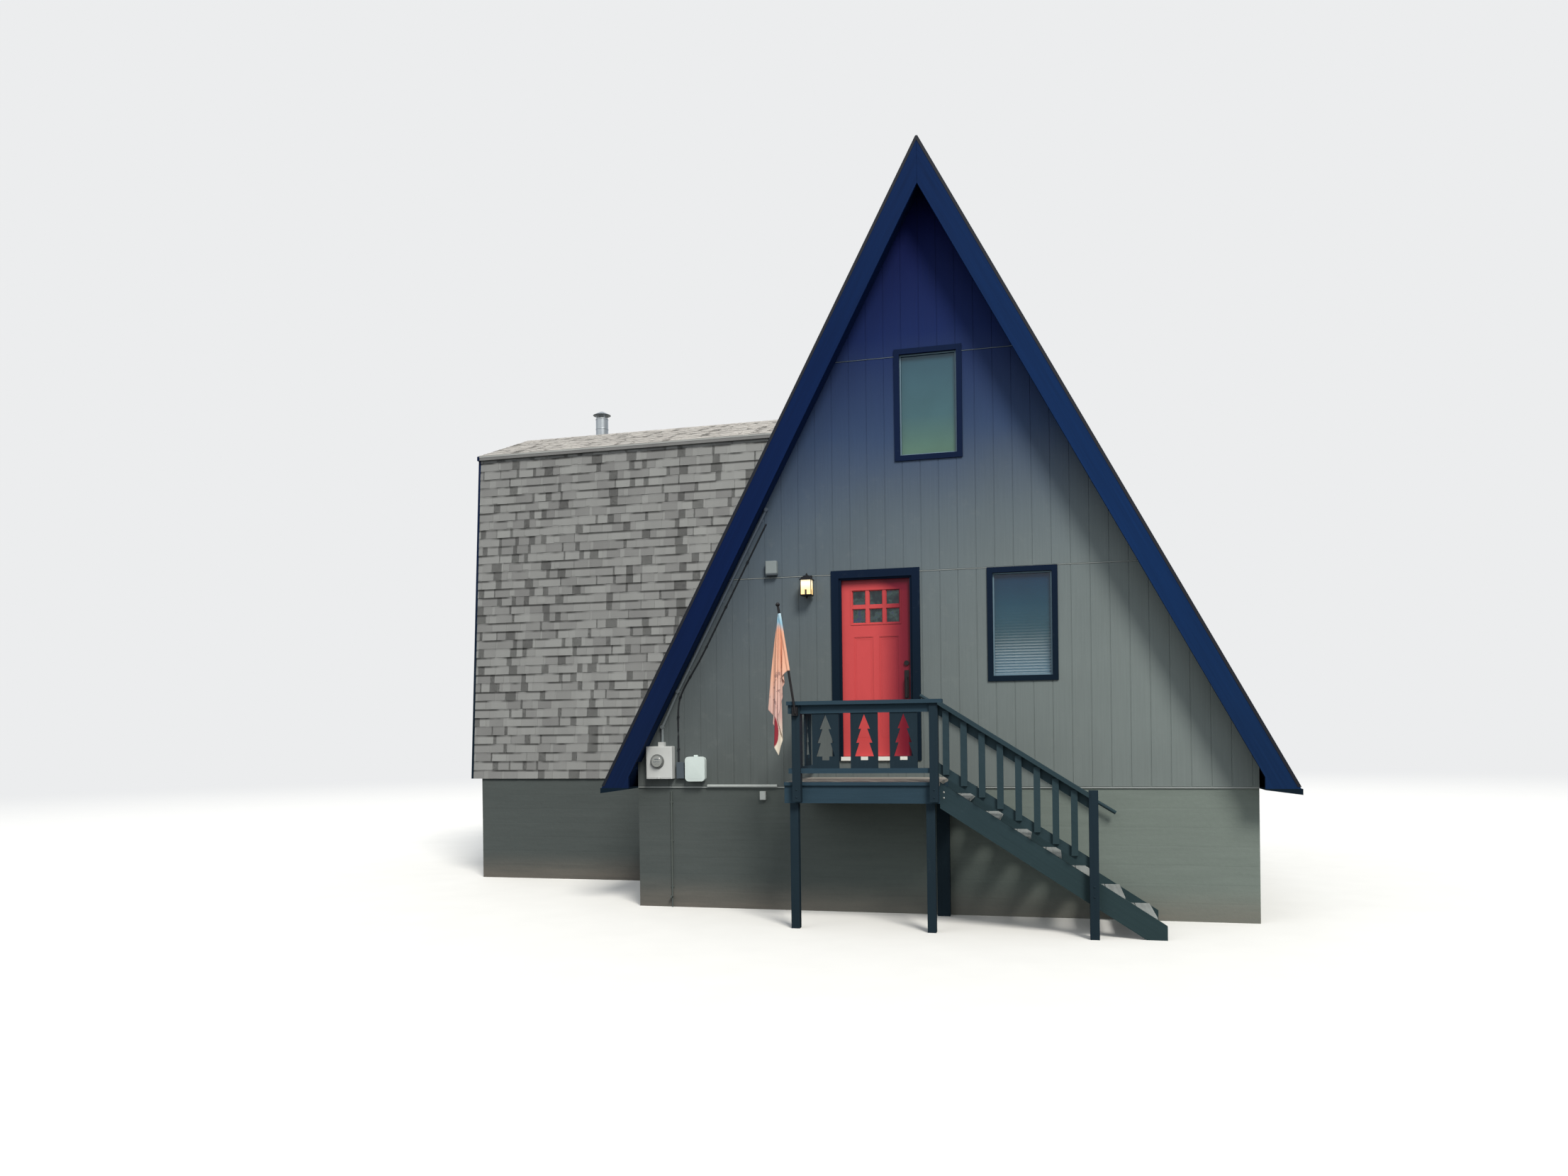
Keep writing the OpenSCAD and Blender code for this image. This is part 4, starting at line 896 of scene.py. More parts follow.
class Tree(Nodes):
    """A geometry node tree with named inputs, the last of them its finish."""

    def __init__(self, name, inputs, points=False):
        super().__init__(bpy.data.node_groups.new(name, "GeometryNodeTree"))
        if points:
            self.socket("Points", "INPUT", "Geometry")
        self.socket("Geometry", "OUTPUT", "Geometry")
        self.keys = {}
        for label, (kind, value) in inputs.items():
            socket = self.socket(label, "INPUT", kind)
            socket.default_value = value
            self.keys[label] = socket.identifier
        self.keys["Finish"] = self.socket("Finish", "INPUT", "Material").identifier
        self.source = self.tree.nodes.new("NodeGroupInput")
        self.sink = self.tree.nodes.new("NodeGroupOutput")

    def socket(self, label, way, kind):
        """A new input or output of the tree."""
        return self.tree.interface.new_socket(label, in_out=way, socket_type="NodeSocket" + kind)

    def given(self, label):
        """The socket of a named input."""
        return self.source.outputs[label]

    def math(self, operation, first, second):
        """A Math node."""
        return self.node("ShaderNodeMath", {0: first, 1: second}, operation=operation)

    def slab(self, length, width, thickness):
        """A box of that size, round its middle."""
        return self.node("GeometryNodeMeshCube", {"Size": self.vector(length, width, thickness)})

    def line(self, count, step, start=(0, 0, 0)):
        """Points in a row."""
        return self.node("GeometryNodeMeshLine", {"Count": count, "Start Location": start,
                                                  "Offset": step})

    def on_points(self, points, instance, turn=(0, 0, 0), scale=(1, 1, 1)):
        """An instance on every point."""
        return self.node("GeometryNodeInstanceOnPoints", {
            "Points": points, "Instance": instance, "Rotation": turn, "Scale": scale})

    def moved(self, geometry, **how):
        """Geometry after a Translation, Rotation or Scale."""
        return self.node("GeometryNodeTransform", {"Geometry": geometry, **how})

    def stored(self, geometry, name, value, domain):
        """Geometry with a number kept under a name."""
        return self.node("GeometryNodeStoreNamedAttribute",
                         {"Geometry": geometry, "Name": name, "Value": value},
                         data_type="FLOAT", domain=domain)

    def tinted(self, instances, low, high, seed):
        """Instances, each with a tint of its own."""
        tint = self.node("FunctionNodeRandomValue", {2: low, 3: high, "Seed": seed}, 1,
                         data_type="FLOAT")
        return self.stored(instances, "tint", tint, "INSTANCE")

    def end(self, geometry):
        """Realizes the instances, sets the material and ends the tree."""
        real = self.node("GeometryNodeRealizeInstances", {0: geometry})
        done = self.node("GeometryNodeSetMaterial", {0: real, "Material": self.given("Finish")})
        self.tree.links.new(done, self.sink.inputs[0])
        return self

    def run(self, finish, points=(), **values):
        """The mesh that the tree makes from those values and points."""
        data = bpy.data.meshes.new("holder")
        data.from_pydata([tuple(place) for place in points], [], [])
        holder = linked("holder", data)
        modifier = holder.modifiers.new("nodes", "NODES")
        modifier.node_group = self.tree
        for label, value in values.items():
            modifier[self.keys[label]] = value
        modifier[self.keys["Finish"]] = finish_of(finish)
        return baked(holder)


def shingle_tree():
    """Courses of shingles in a plane: a full course and random tabs on it."""
    t = Tree("shingle_courses", {
        "Courses": ("Int", 10), "Tabs": ("Int", 10), "Exposure": ("Float", 0.127),
        "Pitch": ("Float", 0.24), "Thickness": ("Float", 0.003), "Tilt": ("Float", -0.02),
        "Seed": ("Int", 1)})
    rows, tabs, seed = t.given("Courses"), t.given("Tabs"), t.given("Seed")
    exposure, pitch, thick = t.given("Exposure"), t.given("Pitch"), t.given("Thickness")
    width = t.math("MULTIPLY", t.math("SUBTRACT", tabs, 1.0), pitch)
    rise = t.math("MULTIPLY", t.math("SUBTRACT", rows, 1.0), exposure)
    length = t.math("MULTIPLY", exposure, LAP)
    tilt = t.vector(t.given("Tilt"))

    def shuffle(low, high):
        return t.node("FunctionNodeRandomValue", {"Min": low, "Max": high, "Seed": seed},
                      data_type="FLOAT_VECTOR")

    grid = t.node("GeometryNodeMeshGrid", {"Size X": width, "Size Y": rise,
                                           "Vertices X": tabs, "Vertices Y": rows})
    places = t.node("GeometryNodeSetPosition",
                    {"Geometry": grid, "Offset": shuffle((-0.1, 0, 0), (0.1, 0, 0))})
    uppers = t.on_points(places, t.slab(pitch, length, thick), tilt,
                         shuffle((0.72, 1, 1), (1.25, 1, 1)))
    uppers = t.tinted(uppers, 0.15, 1.0, t.math("ADD", seed, 7.0))
    uppers = t.moved(uppers, Translation=t.vector(z=thick))

    line = t.line(rows, t.vector(y=exposure), t.vector(y=t.math("MULTIPLY", rise, -0.5)))
    strip = t.slab(t.math("ADD", width, pitch), length, thick)
    lowers = t.stored(t.on_points(line, strip, tilt), "tint", 0.8, "INSTANCE")
    both = t.node("GeometryNodeJoinGeometry", {0: [lowers, uppers]})
    real = t.node("GeometryNodeRealizeInstances", {0: both})
    up = t.node("ShaderNodeSeparateXYZ", {0: t.node("GeometryNodeInputPosition")}, 1)
    butt = t.math("ADD", up, t.math("ADD", t.math("MULTIPLY", length, 0.5),
                                    t.math("MULTIPLY", rise, 0.5)))
    return t.end(t.stored(real, "course", t.math("DIVIDE", butt, exposure), "POINT"))


def cap_tree():
    """Folded caps in a row along a ridge."""
    t = Tree("ridge_caps", {
        "Count": ("Int", 10), "Exposure": ("Float", 0.127), "Leaf": ("Float", 0.15),
        "Thickness": ("Float", 0.004), "Fall": ("Float", 1.0), "Seed": ("Int", 3)})
    exposure, leaf = t.given("Exposure"), t.given("Leaf")
    flat = t.slab(t.math("MULTIPLY", exposure, 1.25), leaf, t.given("Thickness"))
    half = t.math("MULTIPLY", leaf, 0.5)
    leaves = []
    for side in (-1.0, 1.0):
        aside = t.moved(flat, Translation=t.vector(y=t.math("MULTIPLY", half, side)))
        fall = t.math("MULTIPLY", t.given("Fall"), -side)
        leaves.append(t.moved(aside, Rotation=t.vector(fall)))
    folded = t.node("GeometryNodeJoinGeometry", {0: leaves})
    caps = t.on_points(t.line(t.given("Count"), t.vector(exposure)), folded, (0, -0.02, 0))
    return t.end(t.tinted(caps, 0.3, 0.9, t.given("Seed")))


class CabinShingles(bpy.types.PropertyGroup):
    """Sizes of the shingles."""

    exposure: FloatProperty(name="Exposure", description="Height of a course that shows",
                            default=0.127, unit="LENGTH")
    tab: FloatProperty(name="Tab pitch", description="Mean distance between tabs",
                       default=0.26, unit="LENGTH")
    thickness: FloatProperty(name="Thickness", description="Thickness of a layer",
                             default=0.0035, unit="LENGTH")
    seed: IntProperty(name="Seed", description="Seed of the tabs' widths and tints", default=11)


class CABIN_OT_shingles(bpy.types.Operator):
    """Lays shingles on every slope and caps on both ridges"""

    bl_idname = "cabin.shingles"
    bl_label = "Shingles"

    def execute(self, context):
        """Makes one piece of shingles for each slope, and the caps."""
        self.sett = context.scene.cabin.shingles
        self.tree = shingle_tree()
        foot, top = Vector((HALF_W + EAVE_OUT, 0, FOUND_TOP)), Vector((0, 0, APEX_Z))
        y0, y1 = ROOF_Y
        right = self.slope(foot, top, Vector((0, 1, 0)), (y0, y1), 1)
        new_piece("shingles_main_right", right, "shingle", slot="shingles")
        left = self.slope(foot * Vector((-1, 1, 1)), top, Vector((0, -1, 0)), (-y1, -y0), 2)
        self.clear_wing(left)
        new_piece("shingles_main_left", left, "shingle", slot="shingles")
        self.wing()
        self.caps()
        return {"FINISHED"}

    def slope(self, foot, top, along, span, seed):
        """A bmesh of shingles from a foot line up to a top line."""
        sett = self.sett
        up = (top - foot).normalized()
        rows = math.ceil((top - foot).length / sett.exposure) + 1
        tilt = -math.asin(sett.thickness / sett.exposure)
        mesh = self.tree.run("shingle", Courses=rows, Exposure=sett.exposure, Pitch=sett.tab,
                             Tabs=math.ceil((span[1] - span[0]) / sett.tab) + 1,
                             Thickness=sett.thickness, Tilt=tilt, Seed=sett.seed + seed)
        normal = along.cross(up)
        strip = sett.exposure * LAP
        lift = strip / 2 * math.sin(-tilt) + sett.thickness / 2
        centre = (foot + along * (span[0] + span[1]) / 2
                  + up * ((rows - 1) * sett.exposure / 2 + strip / 2) + normal * lift)
        matrix = Matrix.Translation(centre) @ Matrix((along, up, normal)).transposed().to_4x4()
        bm = take(bmesh.new(), mesh)
        bmesh.ops.transform(bm, matrix=matrix, verts=bm.verts)
        edge = along * 0.002
        cut_away(bm, foot + along * span[1] - edge, along)
        cut_away(bm, foot + along * span[0] + edge, -along)
        cut_away(bm, top - up * 0.002, up)
        return bm

    def clear_wing(self, bm):
        """Takes away the shingles inside the wing's roof."""
        planes = [(Vector((0, WING_Y + q, z)), Vector((0, a, b)))
                  for (q, z), (a, b) in gambrel(WING_HALF, WING_TOP)]
        for point, normal in planes:
            slice_at(bm, point, normal)
        drop_faces(bm, lambda middle: all((middle - point).dot(normal) < 0
                                          for point, normal in planes))
        bmesh.ops.holes_fill(bm, edges=[e for e in bm.edges if e.is_boundary], sides=8)

    def wing(self):
        """The wing's steep faces and upper slopes."""
        steep_q = WING_HALF - (WING_PLATE_Z - FOUND_TOP) * math.tan(WING_LEAN)
        for side, label in ((-1, "front"), (1, "back")):
            along = Vector((-side, 0, 0))
            span = (WING_X0, -1.1) if side < 0 else (1.1, -WING_X0)
            for part, finish, foot, top, seed in (
                    ("wing", "shingle", (WING_HALF, FOUND_TOP), (steep_q, WING_PLATE_Z), 5),
                    ("upper", "pale_shingle", (WING_EDGE_Q, WING_EDGE_Z), (0, WING_TOP), 9)):
                ends = [Vector((0, WING_Y + side * q, z)) for q, z in (foot, top)]
                bm = self.slope(*ends, along, span, seed + side)
                self.trim(bm)
                new_piece(f"shingles_{part}_{label}", bm, finish, slot="shingles")

    def trim(self, bm):
        """Ends the wing's shingles on the main slope."""
        out = Vector((-math.sin(PITCH), 0, math.cos(PITCH)))
        cut_away(bm, Vector((0, 0, APEX_Z)) + out * 0.004, -out)

    def caps(self):
        """Caps along both ridges."""
        tree, exposure = cap_tree(), self.sett.exposure

        def row(finish, length, fall, seed):
            count = math.floor(length / exposure) - 1
            return count, tree.run(finish, Count=count, Exposure=exposure, Leaf=0.145,
                                   Thickness=0.004, Fall=fall, Seed=seed)

        y0, y1 = ROOF_Y
        count, mesh = row("shingle", y1 - y0, PITCH, 3)
        start = y0 + (y1 - y0 - (count - 1) * exposure) / 2
        mesh.transform(Matrix.Translation((0, start, APEX_Z + 0.006))
                       @ Matrix.Rotation(math.pi / 2, 4, "Z"))
        add_piece("ridge_cap_shingles", mesh, "shingle", slot="shingles", replaces=("ridge_cap",))
        low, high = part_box("wing_ridge_cap")
        count, mesh = row("pale_shingle", high.x - low.x, WING_PITCH, 4)
        mesh.transform(Matrix.Translation((low.x + 0.082, WING_Y, WING_TOP + 0.007)))
        bm = take(bmesh.new(), mesh)
        self.trim(bm)
        new_piece("wing_cap_shingles", bm, "pale_shingle", slot="shingles",
                  replaces=("wing_ridge_cap",))


# Edges of the roof


class CABIN_OT_edges(bpy.types.Operator):
    """Folds thin metal edges along the rakes and the wing's upper slopes"""

    bl_idname = "cabin.edges"
    bl_label = "Metal edges"

    def execute(self, context):
        """Makes the dark rake edges and the grey wing edges."""
        bm = bmesh.new()
        front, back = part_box("front_rake_boards")[0].y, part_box("back_rake_boards")[1].y
        for side in (-1, 1):
            half = bmesh.new()
            lift = 0.017 * math.cos(PITCH) * SLOPE * Vector((side, 0, 1))
            foot = Vector((side * (HALF_W + EAVE_OUT), 0, FOUND_TOP)) + lift
            apex = Vector((0, 0, APEX_Z)) + lift
            ends = [foot, apex + (apex - foot) * 0.02][::-side]
            for y0, y1, low, high in ((front - 0.003, front, -0.022, 0.01),
                                      (front, front + 0.05, 0.0, 0.0015),
                                      (back - 0.05, back, 0.0, 0.0015)):
                add_strip(half, *ends, (y0, low), (y1, high))
            for point, normal in (((0, 0, 0), (-side, 0, 0)),
                                  ((0, 0, FOUND_TOP + 0.02), (0, 0, -1)),
                                  ((0, 0, CAD_BOX[1].z - 0.0005), (0, 0, 1)),
                                  ((side * CAD_BOX[1].x, 0, 0), (side, 0, 0))):
                cut_away(half, point, normal)
            join(bm, half)
        new_piece("rake_edges", outward(bm), "drip", slot="dark_trim")
        bm = bmesh.new()
        inner = -(HALF_W + EAVE_OUT - (WING_EDGE_Z - FOUND_TOP) / math.tan(PITCH)) + 0.01
        for side in (-1, 1):
            y0, y1 = sorted(WING_Y + side * (WING_EDGE_Q + out) for out in (0, 0.003))
            add_box(bm, (WING_X0, y0, WING_EDGE_Z - 0.018), (inner, y1, WING_EDGE_Z + 0.004))
        new_piece("wing_edges", bm, "bright", slot="flashing")
        return {"FINISHED"}


# Windows


def blind_tree():
    """Tilted slats one above another."""
    t = Tree("blind_stack", {
        "Slats": ("Int", 30), "Pitch": ("Float", 0.032), "Width": ("Float", 0.6),
        "Depth": ("Float", 0.034), "Tilt": ("Float", 0.9)})
    line = t.line(t.given("Slats"), t.vector(z=t.given("Pitch")))
    slat = t.slab(t.given("Width"), t.given("Depth"), 0.0012)
    return t.end(t.on_points(line, slat, t.vector(t.given("Tilt"))))


class CabinWindows(bpy.types.PropertyGroup):
    """Sizes of the sashes and blinds."""

    slat_pitch: FloatProperty(name="Slat pitch", description="Distance between slats",
                              default=0.032, unit="LENGTH")
    slat_tilt: FloatProperty(name="Slat tilt", description="Lean of the slats",
                             default=math.radians(52), subtype="ANGLE")
    sash: FloatProperty(name="Sash", description="Width of the sash that shows",
                        default=0.018, unit="LENGTH")


class CABIN_OT_windows(bpy.types.Operator):
    """Fits sash faces and slatted blinds in every window"""

    bl_idname = "cabin.windows"
    bl_label = "Sashes and blinds"

    def execute(self, context):
        """Makes the sash faces and the blinds."""
        sett = context.scene.cabin.windows
        bm = bmesh.new()
        for low, high in solids_of("window_glass"):
            matrix, size = self.place(low, high)
            add_ring(bm, (size[0] + 2 * sett.sash - 0.002, size[1] + 2 * sett.sash - 0.002),
                     sett.sash - 0.002, 0.002, matrix @ Matrix.Translation((0, -0.018, 0)))
        bevelled(bm, 0.0006, 1)
        new_piece("sash_faces", outward(bm), "sash", slot="flashing")

        bm = bmesh.new()
        tree = blind_tree()
        for low, high in solids_of("window_blinds"):
            matrix, size = self.place(low, high)
            count = int((size[1] - 0.035 - 0.03) / sett.slat_pitch)
            mesh = tree.run("blind", Slats=count, Pitch=sett.slat_pitch, Width=size[0] - 0.02,
                            Depth=0.034, Tilt=sett.slat_tilt)
            mesh.transform(matrix @ Matrix.Translation((0, 0, 0.048 - size[1] / 2)))
            take(bm, mesh)
            half, top = size[0] / 2, size[1] / 2
            add_box(bm, (-half, -0.015, top - 0.032), (half, 0.015, top), matrix)
            add_box(bm, (-half + 0.006, -0.012, -top + 0.004), (half - 0.006, 0.012, -top + 0.024),
                    matrix)
            for x in (-0.6 * half, 0, 0.6 * half):
                for y in (-0.0145, 0.0135):
                    add_box(bm, (x - 0.0012, y, -top + 0.02), (x + 0.0012, y + 0.001, top - 0.03),
                            matrix)
        new_piece("blind_slats", bm, "blind", slot="blind", replaces=("window_blinds",))
        return {"FINISHED"}

    def place(self, low, high):
        """A matrix with its face outwards at a pane or blind, and its width and height."""
        middle = (low + high) / 2
        if high.x - low.x < high.y - low.y:
            turn, wide = -math.pi / 2, high.y - low.y
        else:
            turn, wide = (math.pi if middle.y > WING_Y else 0.0), high.x - low.x
        return (Matrix.Translation(middle) @ Matrix.Rotation(turn, 4, "Z"), (wide, high.z - low.z))


# Door


class CABIN_OT_door(bpy.types.Operator):
    """Adds beads round the door's lights and panels"""

    bl_idname = "cabin.door"
    bl_label = "Door beads"

    # The slab's two panels: their size, their middle's distance from the slab's, their foot
    PANEL = (0.225, 1.18)
    ASIDE, FOOT = 0.545 / 4 + 0.009, 0.19

    def execute(self, context):
        """Makes the beads, which ride on the door."""
        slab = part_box("door_slab")
        face = slab[0].y
        panes = solids_of("door_glass")
        low = Vector(map(min, *[pair[0] for pair in panes]))
        high = Vector(map(max, *[pair[1] for pair in panes]))
        middle = (low + high) / 2
        bm = bmesh.new()
        add_ring(bm, (high.x - low.x + 0.036, high.z - low.z + 0.036), 0.014, 0.006,
                 Matrix.Translation((middle.x, face, middle.z)))
        for first, last in panes:
            at = (first + last) / 2
            add_ring(bm, (last.x - first.x, last.z - first.z), 0.007, 0.008,
                     Matrix.Translation((at.x, first.y - 0.0005, at.z)))
        for side in (-1, 1):
            place = Matrix.Translation((middle.x + side * self.ASIDE, face + 0.007,
                                        slab[0].z + self.FOOT + self.PANEL[1] / 2))
            add_ring(bm, self.PANEL, 0.008, 0.004, place)
            add_ring(bm, [size - 0.05 for size in self.PANEL], 0.003, 0.0015, place)
        bevelled(bm, 0.0012, 1)
        new_piece("door_beads", outward(bm), "door", body=DOOR, slot="door_paint")
        return {"FINISHED"}


# Porch and steps


def board_tree():
    """Boards side by side, each with its own tone."""
    t = Tree("board_row", {
        "Boards": ("Int", 8), "Length": ("Float", 1.0), "Width": ("Float", 0.13),
        "Gap": ("Float", 0.006), "Thickness": ("Float", 0.038), "Seed": ("Int", 1)})
    step = t.vector(y=t.math("ADD", t.given("Width"), t.given("Gap")))
    board = t.slab(t.given("Length"), t.given("Width"), t.given("Thickness"))
    row = t.on_points(t.line(t.given("Boards"), step), board)
    return t.end(t.tinted(row, 0.0, 1.0, t.given("Seed")))


def head_tree():
    """A domed head on every point."""
    t = Tree("fixing_heads", {"Radius": ("Float", 0.01), "Turn": ("Float", 0.0)}, points=True)
    ball = t.node("GeometryNodeMeshUVSphere", {"Segments": 12, "Rings": 8,
                                               "Radius": t.given("Radius")})
    flat = t.moved(ball, Scale=(1, 1, 0.42))
    return t.end(t.on_points(t.given("Points"), flat, t.vector(t.given("Turn"))))


class CabinPorch(bpy.types.PropertyGroup):
    """Sizes of the porch's boards."""

    boards: IntProperty(name="Deck boards", description="Boards across the deck", default=8)
    gap: FloatProperty(name="Gap", description="Gap between boards", default=0.006, unit="LENGTH")
    seed: IntProperty(name="Seed", description="Seed of the boards' tones", default=5)


class CABIN_OT_porch(bpy.types.Operator):
    """Lays the deck and the treads in boards, with their bolts and screws"""

    bl_idname = "cabin.porch"
    bl_label = "Porch boards"

    def execute(self, context):
        """Makes the boards, the nosing, the bolts and the screws."""
        sett = self.sett = context.scene.cabin.porch
        self.tree, self.head = board_tree(), head_tree()
        low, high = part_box("porch_deck")
        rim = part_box("porch_frame")[0].y
        middle = (low + high) / 2
        width = (high.y - rim + sett.gap) / sett.boards - sett.gap
        bm = self.boards(sett.boards, (high.x - low.x, width, high.z - low.z), sett.seed, "deck")
        bmesh.ops.translate(bm, vec=(middle.x, rim + width / 2, middle.z), verts=bm.verts)
        self.finish_boards(bm, "deck_boards", "deck", "porch_deck")
        screws = []
        for i in range(sett.boards):
            y = rim + width / 2 + i * (width + sett.gap)
            for x in (low.x + 0.02, low.x + 0.42, low.x + 0.82, low.x + 1.22, high.x - 0.02):
                screws += [(x, y - 0.035, high.z), (x, y + 0.035, high.z)]
        self.nosing(low, high, rim)

        bm = bmesh.new()
        for i, (low, high) in enumerate(solids_of("stair_treads")):
            middle = (low + high) / 2
            width = (high.x - low.x - sett.gap) / 2
            part = self.boards(2, (high.y - low.y, width, high.z - low.z), sett.seed + 3 * i,
                               "tread")
            matrix = (Matrix.Translation((high.x - width / 2, middle.y, middle.z))
                      @ Matrix.Rotation(math.pi / 2, 4, "Z"))
            bmesh.ops.transform(part, matrix=matrix, verts=part.verts)
            join(bm, part)
            for x in (low.x + 0.04, low.x + 0.11, high.x - 0.11, high.x - 0.04):
                screws += [(x, low.y + 0.02, high.z), (x, high.y - 0.02, high.z)]
        self.finish_boards(bm, "tread_boards", "tread", "stair_treads")
        self.heads("board_screws", screws, 0.0045, 0.0, "flashing", "flashing")
        self.bolts()
        return {"FINISHED"}

    def boards(self, count, size, seed, finish):
        """A bmesh of a row of boards of that size."""
        return take(bmesh.new(), self.tree.run(
            finish, Boards=count, Length=size[0], Width=size[1], Thickness=size[2],
            Gap=self.sett.gap, Seed=seed))

    def finish_boards(self, bm, name, finish, node):
        """Rounds the boards' edges and makes the piece."""
        bevelled(bm, 0.003, 2)
        new_piece(name, bm, finish, slot="decking", replaces=(node,))

    def nosing(self, low, high, rim):
        """The painted front edge of the deck between the posts."""
        bm = bmesh.new()
        posts = [pair for pair in solids_of("porch_posts") if pair[1].z > high.z
                 and pair[0].x < high.x]
        left, right = posts[0], posts[-1]
        for x0, x1 in ((low.x, left[0].x), (left[1].x, right[0].x)):
            add_box(bm, (x0, low.y, low.z + 0.001), (x1, rim - 0.0005, high.z + 0.001))
        bevelled(bm, 0.004, 2)
        new_piece("deck_nosing", bm, "porch", slot="dark_trim")

    def heads(self, name, points, radius, turn, finish, slot):
        """A piece of fixing heads on points."""
        mesh = self.head.run(finish, points, Radius=radius, Turn=turn)
        add_piece(name, mesh, finish, slot=slot, smooth=True)

    def bolts(self):
        """Bolts through the posts, and two bright ones at the head of the steps."""
        dark = []
        for low, high in solids_of("porch_posts"):
            middle = (low.x + high.x) / 2
            if high.z > 2.0 and low.z > 1.0:
                dark += [(middle, low.y, low.z + 0.045), (middle, low.y, low.z + 0.125)]
            elif middle > 1.0:
                dark += [(middle, low.y, 0.42), (middle, low.y, 0.52)]
        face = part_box("stair_stringers")[0]
        light = [(face.x + 0.04, face.y, z) for z in (1.445, 1.388)]
        self.heads("post_bolts", dark, 0.011, math.pi / 2, "post", "black_metal")
        self.heads("step_bolts", light, 0.01, math.pi / 2, "bright", "flashing")


# Fixtures on the front wall


class CABIN_OT_fixtures(bpy.types.Operator):
    """Makes the meter, the boxes, the clipped cable and the flue's bands"""

    bl_idname = "cabin.fixtures"
    bl_label = "Fixtures"

    def execute(self, context):
        """Makes each fixture."""
        meter, link, phone, upper = solids_of("service_boxes")
        self.meter(*meter)
        rounded_box("link_box", *link, "link", 0.004)
        self.phone(*phone)
        rounded_box("wall_box", *upper, "wall_box", 0.008)
        self.cable()
        self.lantern()
        self.flue()
        return {"FINISHED"}

    def meter(self, low, high):
        """The meter box with its hub, cover, dial and dome."""
        front = WALL_Y - 0.11
        top = high.z - 0.05
        middle = (low.x + high.x) / 2
        bm = bmesh.new()
        add_box(bm, (low.x, front, low.z), (high.x, WALL_Y, top))
        bevelled(bm, 0.007, 3)
        lid = bmesh.new()
        add_box(lid, (low.x + 0.012, front - 0.003, low.z + 0.012),
                (high.x - 0.012, front + 0.001, top - 0.012))
        add_box(lid, (middle - 0.02, WALL_Y - 0.08, top - 0.004),
                (middle + 0.05, WALL_Y - 0.005, high.z))
        add_box(lid, (middle - 0.014, front - 0.012, low.z + 0.004),
                (middle + 0.014, front, low.z + 0.03))
        bevelled(lid, 0.0025, 2)
        join(bm, lid)
        new_piece("meter_box", bm, "meter", slot="service_grey", replaces=("service_boxes",))
        at = Vector((middle - 0.02, front, (low.z + top) / 2 + 0.015))
        turn = Matrix.Rotation(math.pi / 2, 4, "X")

        def disc(bm, radius, y0, y1, top=None):
            place = Matrix.Translation((at.x, at.y - (y0 + y1) / 2, at.z)) @ turn
            add_round(bm, radius, y1 - y0, place, 32, top)

        bm = bmesh.new()
        disc(bm, 0.086, 0.0, 0.012)
        disc(bm, 0.08, 0.011, 0.02)
        bevelled(bm, 0.002, 2, 50)
        new_piece("meter_ring", bm, "ring", slot="service_grey")
        bm = bmesh.new()
        disc(bm, 0.065, 0.019, 0.034)
        new_piece("meter_dial", bm, "dial", slot="service_grey")
        bm = bmesh.new()
        for x, z, wide, tall in ((0, 0.026, 0.05, 0.012), (0, -0.03, 0.06, 0.004),
                                 *((x, -0.004, 0.012, 0.012) for x in (-0.03, -0.01, 0.01, 0.03))):
            add_block(bm, at + Vector((x, -0.03425, z)), (wide, 0.0025, tall))
        new_piece("meter_marks", bm, "link", slot="service_grey")
        bm = bmesh.new()
        disc(bm, 0.076, 0.02, 0.048, 0.073)
        disc(bm, 0.073, 0.048, 0.0645, 0.049)
        bmesh.ops.remove_doubles(bm, verts=bm.verts, dist=1e-5)
        doubled = [f for f in bm.faces if len(f.verts) > 4
                   and abs(f.calc_center_median().y - (at.y - 0.048)) < 1e-4]
        bmesh.ops.delete(bm, geom=doubled, context="FACES_ONLY")
        bevelled(bm, 0.006, 3, 20)
        new_piece("meter_dome", outward(bm), "meter_glass", slot="glass", smooth=True)

    def phone(self, low, high):
        """The telephone box: a rounded cover, a base and a knob."""
        def plate(bm, inset, y0, y1):
            half_x = (high.x - low.x) / 2 - inset
            half_z = (high.z - low.z) / 2 - inset
            corner = 0.044 - inset * 0.5
            ring = []
            for sx, sz, start in ((1, 1, 0), (-1, 1, 90), (-1, -1, 180), (1, -1, 270)):
                for k in range(7):
                    a = math.radians(start + 15 * k)
                    ring.append((sx * (half_x - corner) + corner * math.cos(a),
                                 sz * (half_z - corner) + corner * math.sin(a)))
            centre = (low + high) / 2
            face = bm.faces.new([bm.verts.new((centre.x + x, y0, centre.z + z)) for x, z in ring])
            made = bmesh.ops.extrude_face_region(bm, geom=[face])
            moved = [v for v in made["geom"] if isinstance(v, bmesh.types.BMVert)]
            bmesh.ops.translate(bm, vec=(0, y1 - y0, 0), verts=moved)

        bm = bmesh.new()
        plate(bm, 0.004, high.y, high.y - 0.03)
        plate(bm, 0.0, high.y - 0.032, low.y + 0.001)
        plate(bm, 0.03, low.y + 0.002, low.y)
        bevelled(outward(bm), 0.008, 3, 50)
        new_piece("phone_box", bm, "pale", slot="service_grey", smooth=True)
        middle = (low.x + high.x) / 2
        rounded_box("phone_knob", (middle - 0.024, high.y - 0.06, high.z - 0.004),
                    (middle + 0.024, high.y - 0.02, high.z + 0.02), "pale", 0.008)

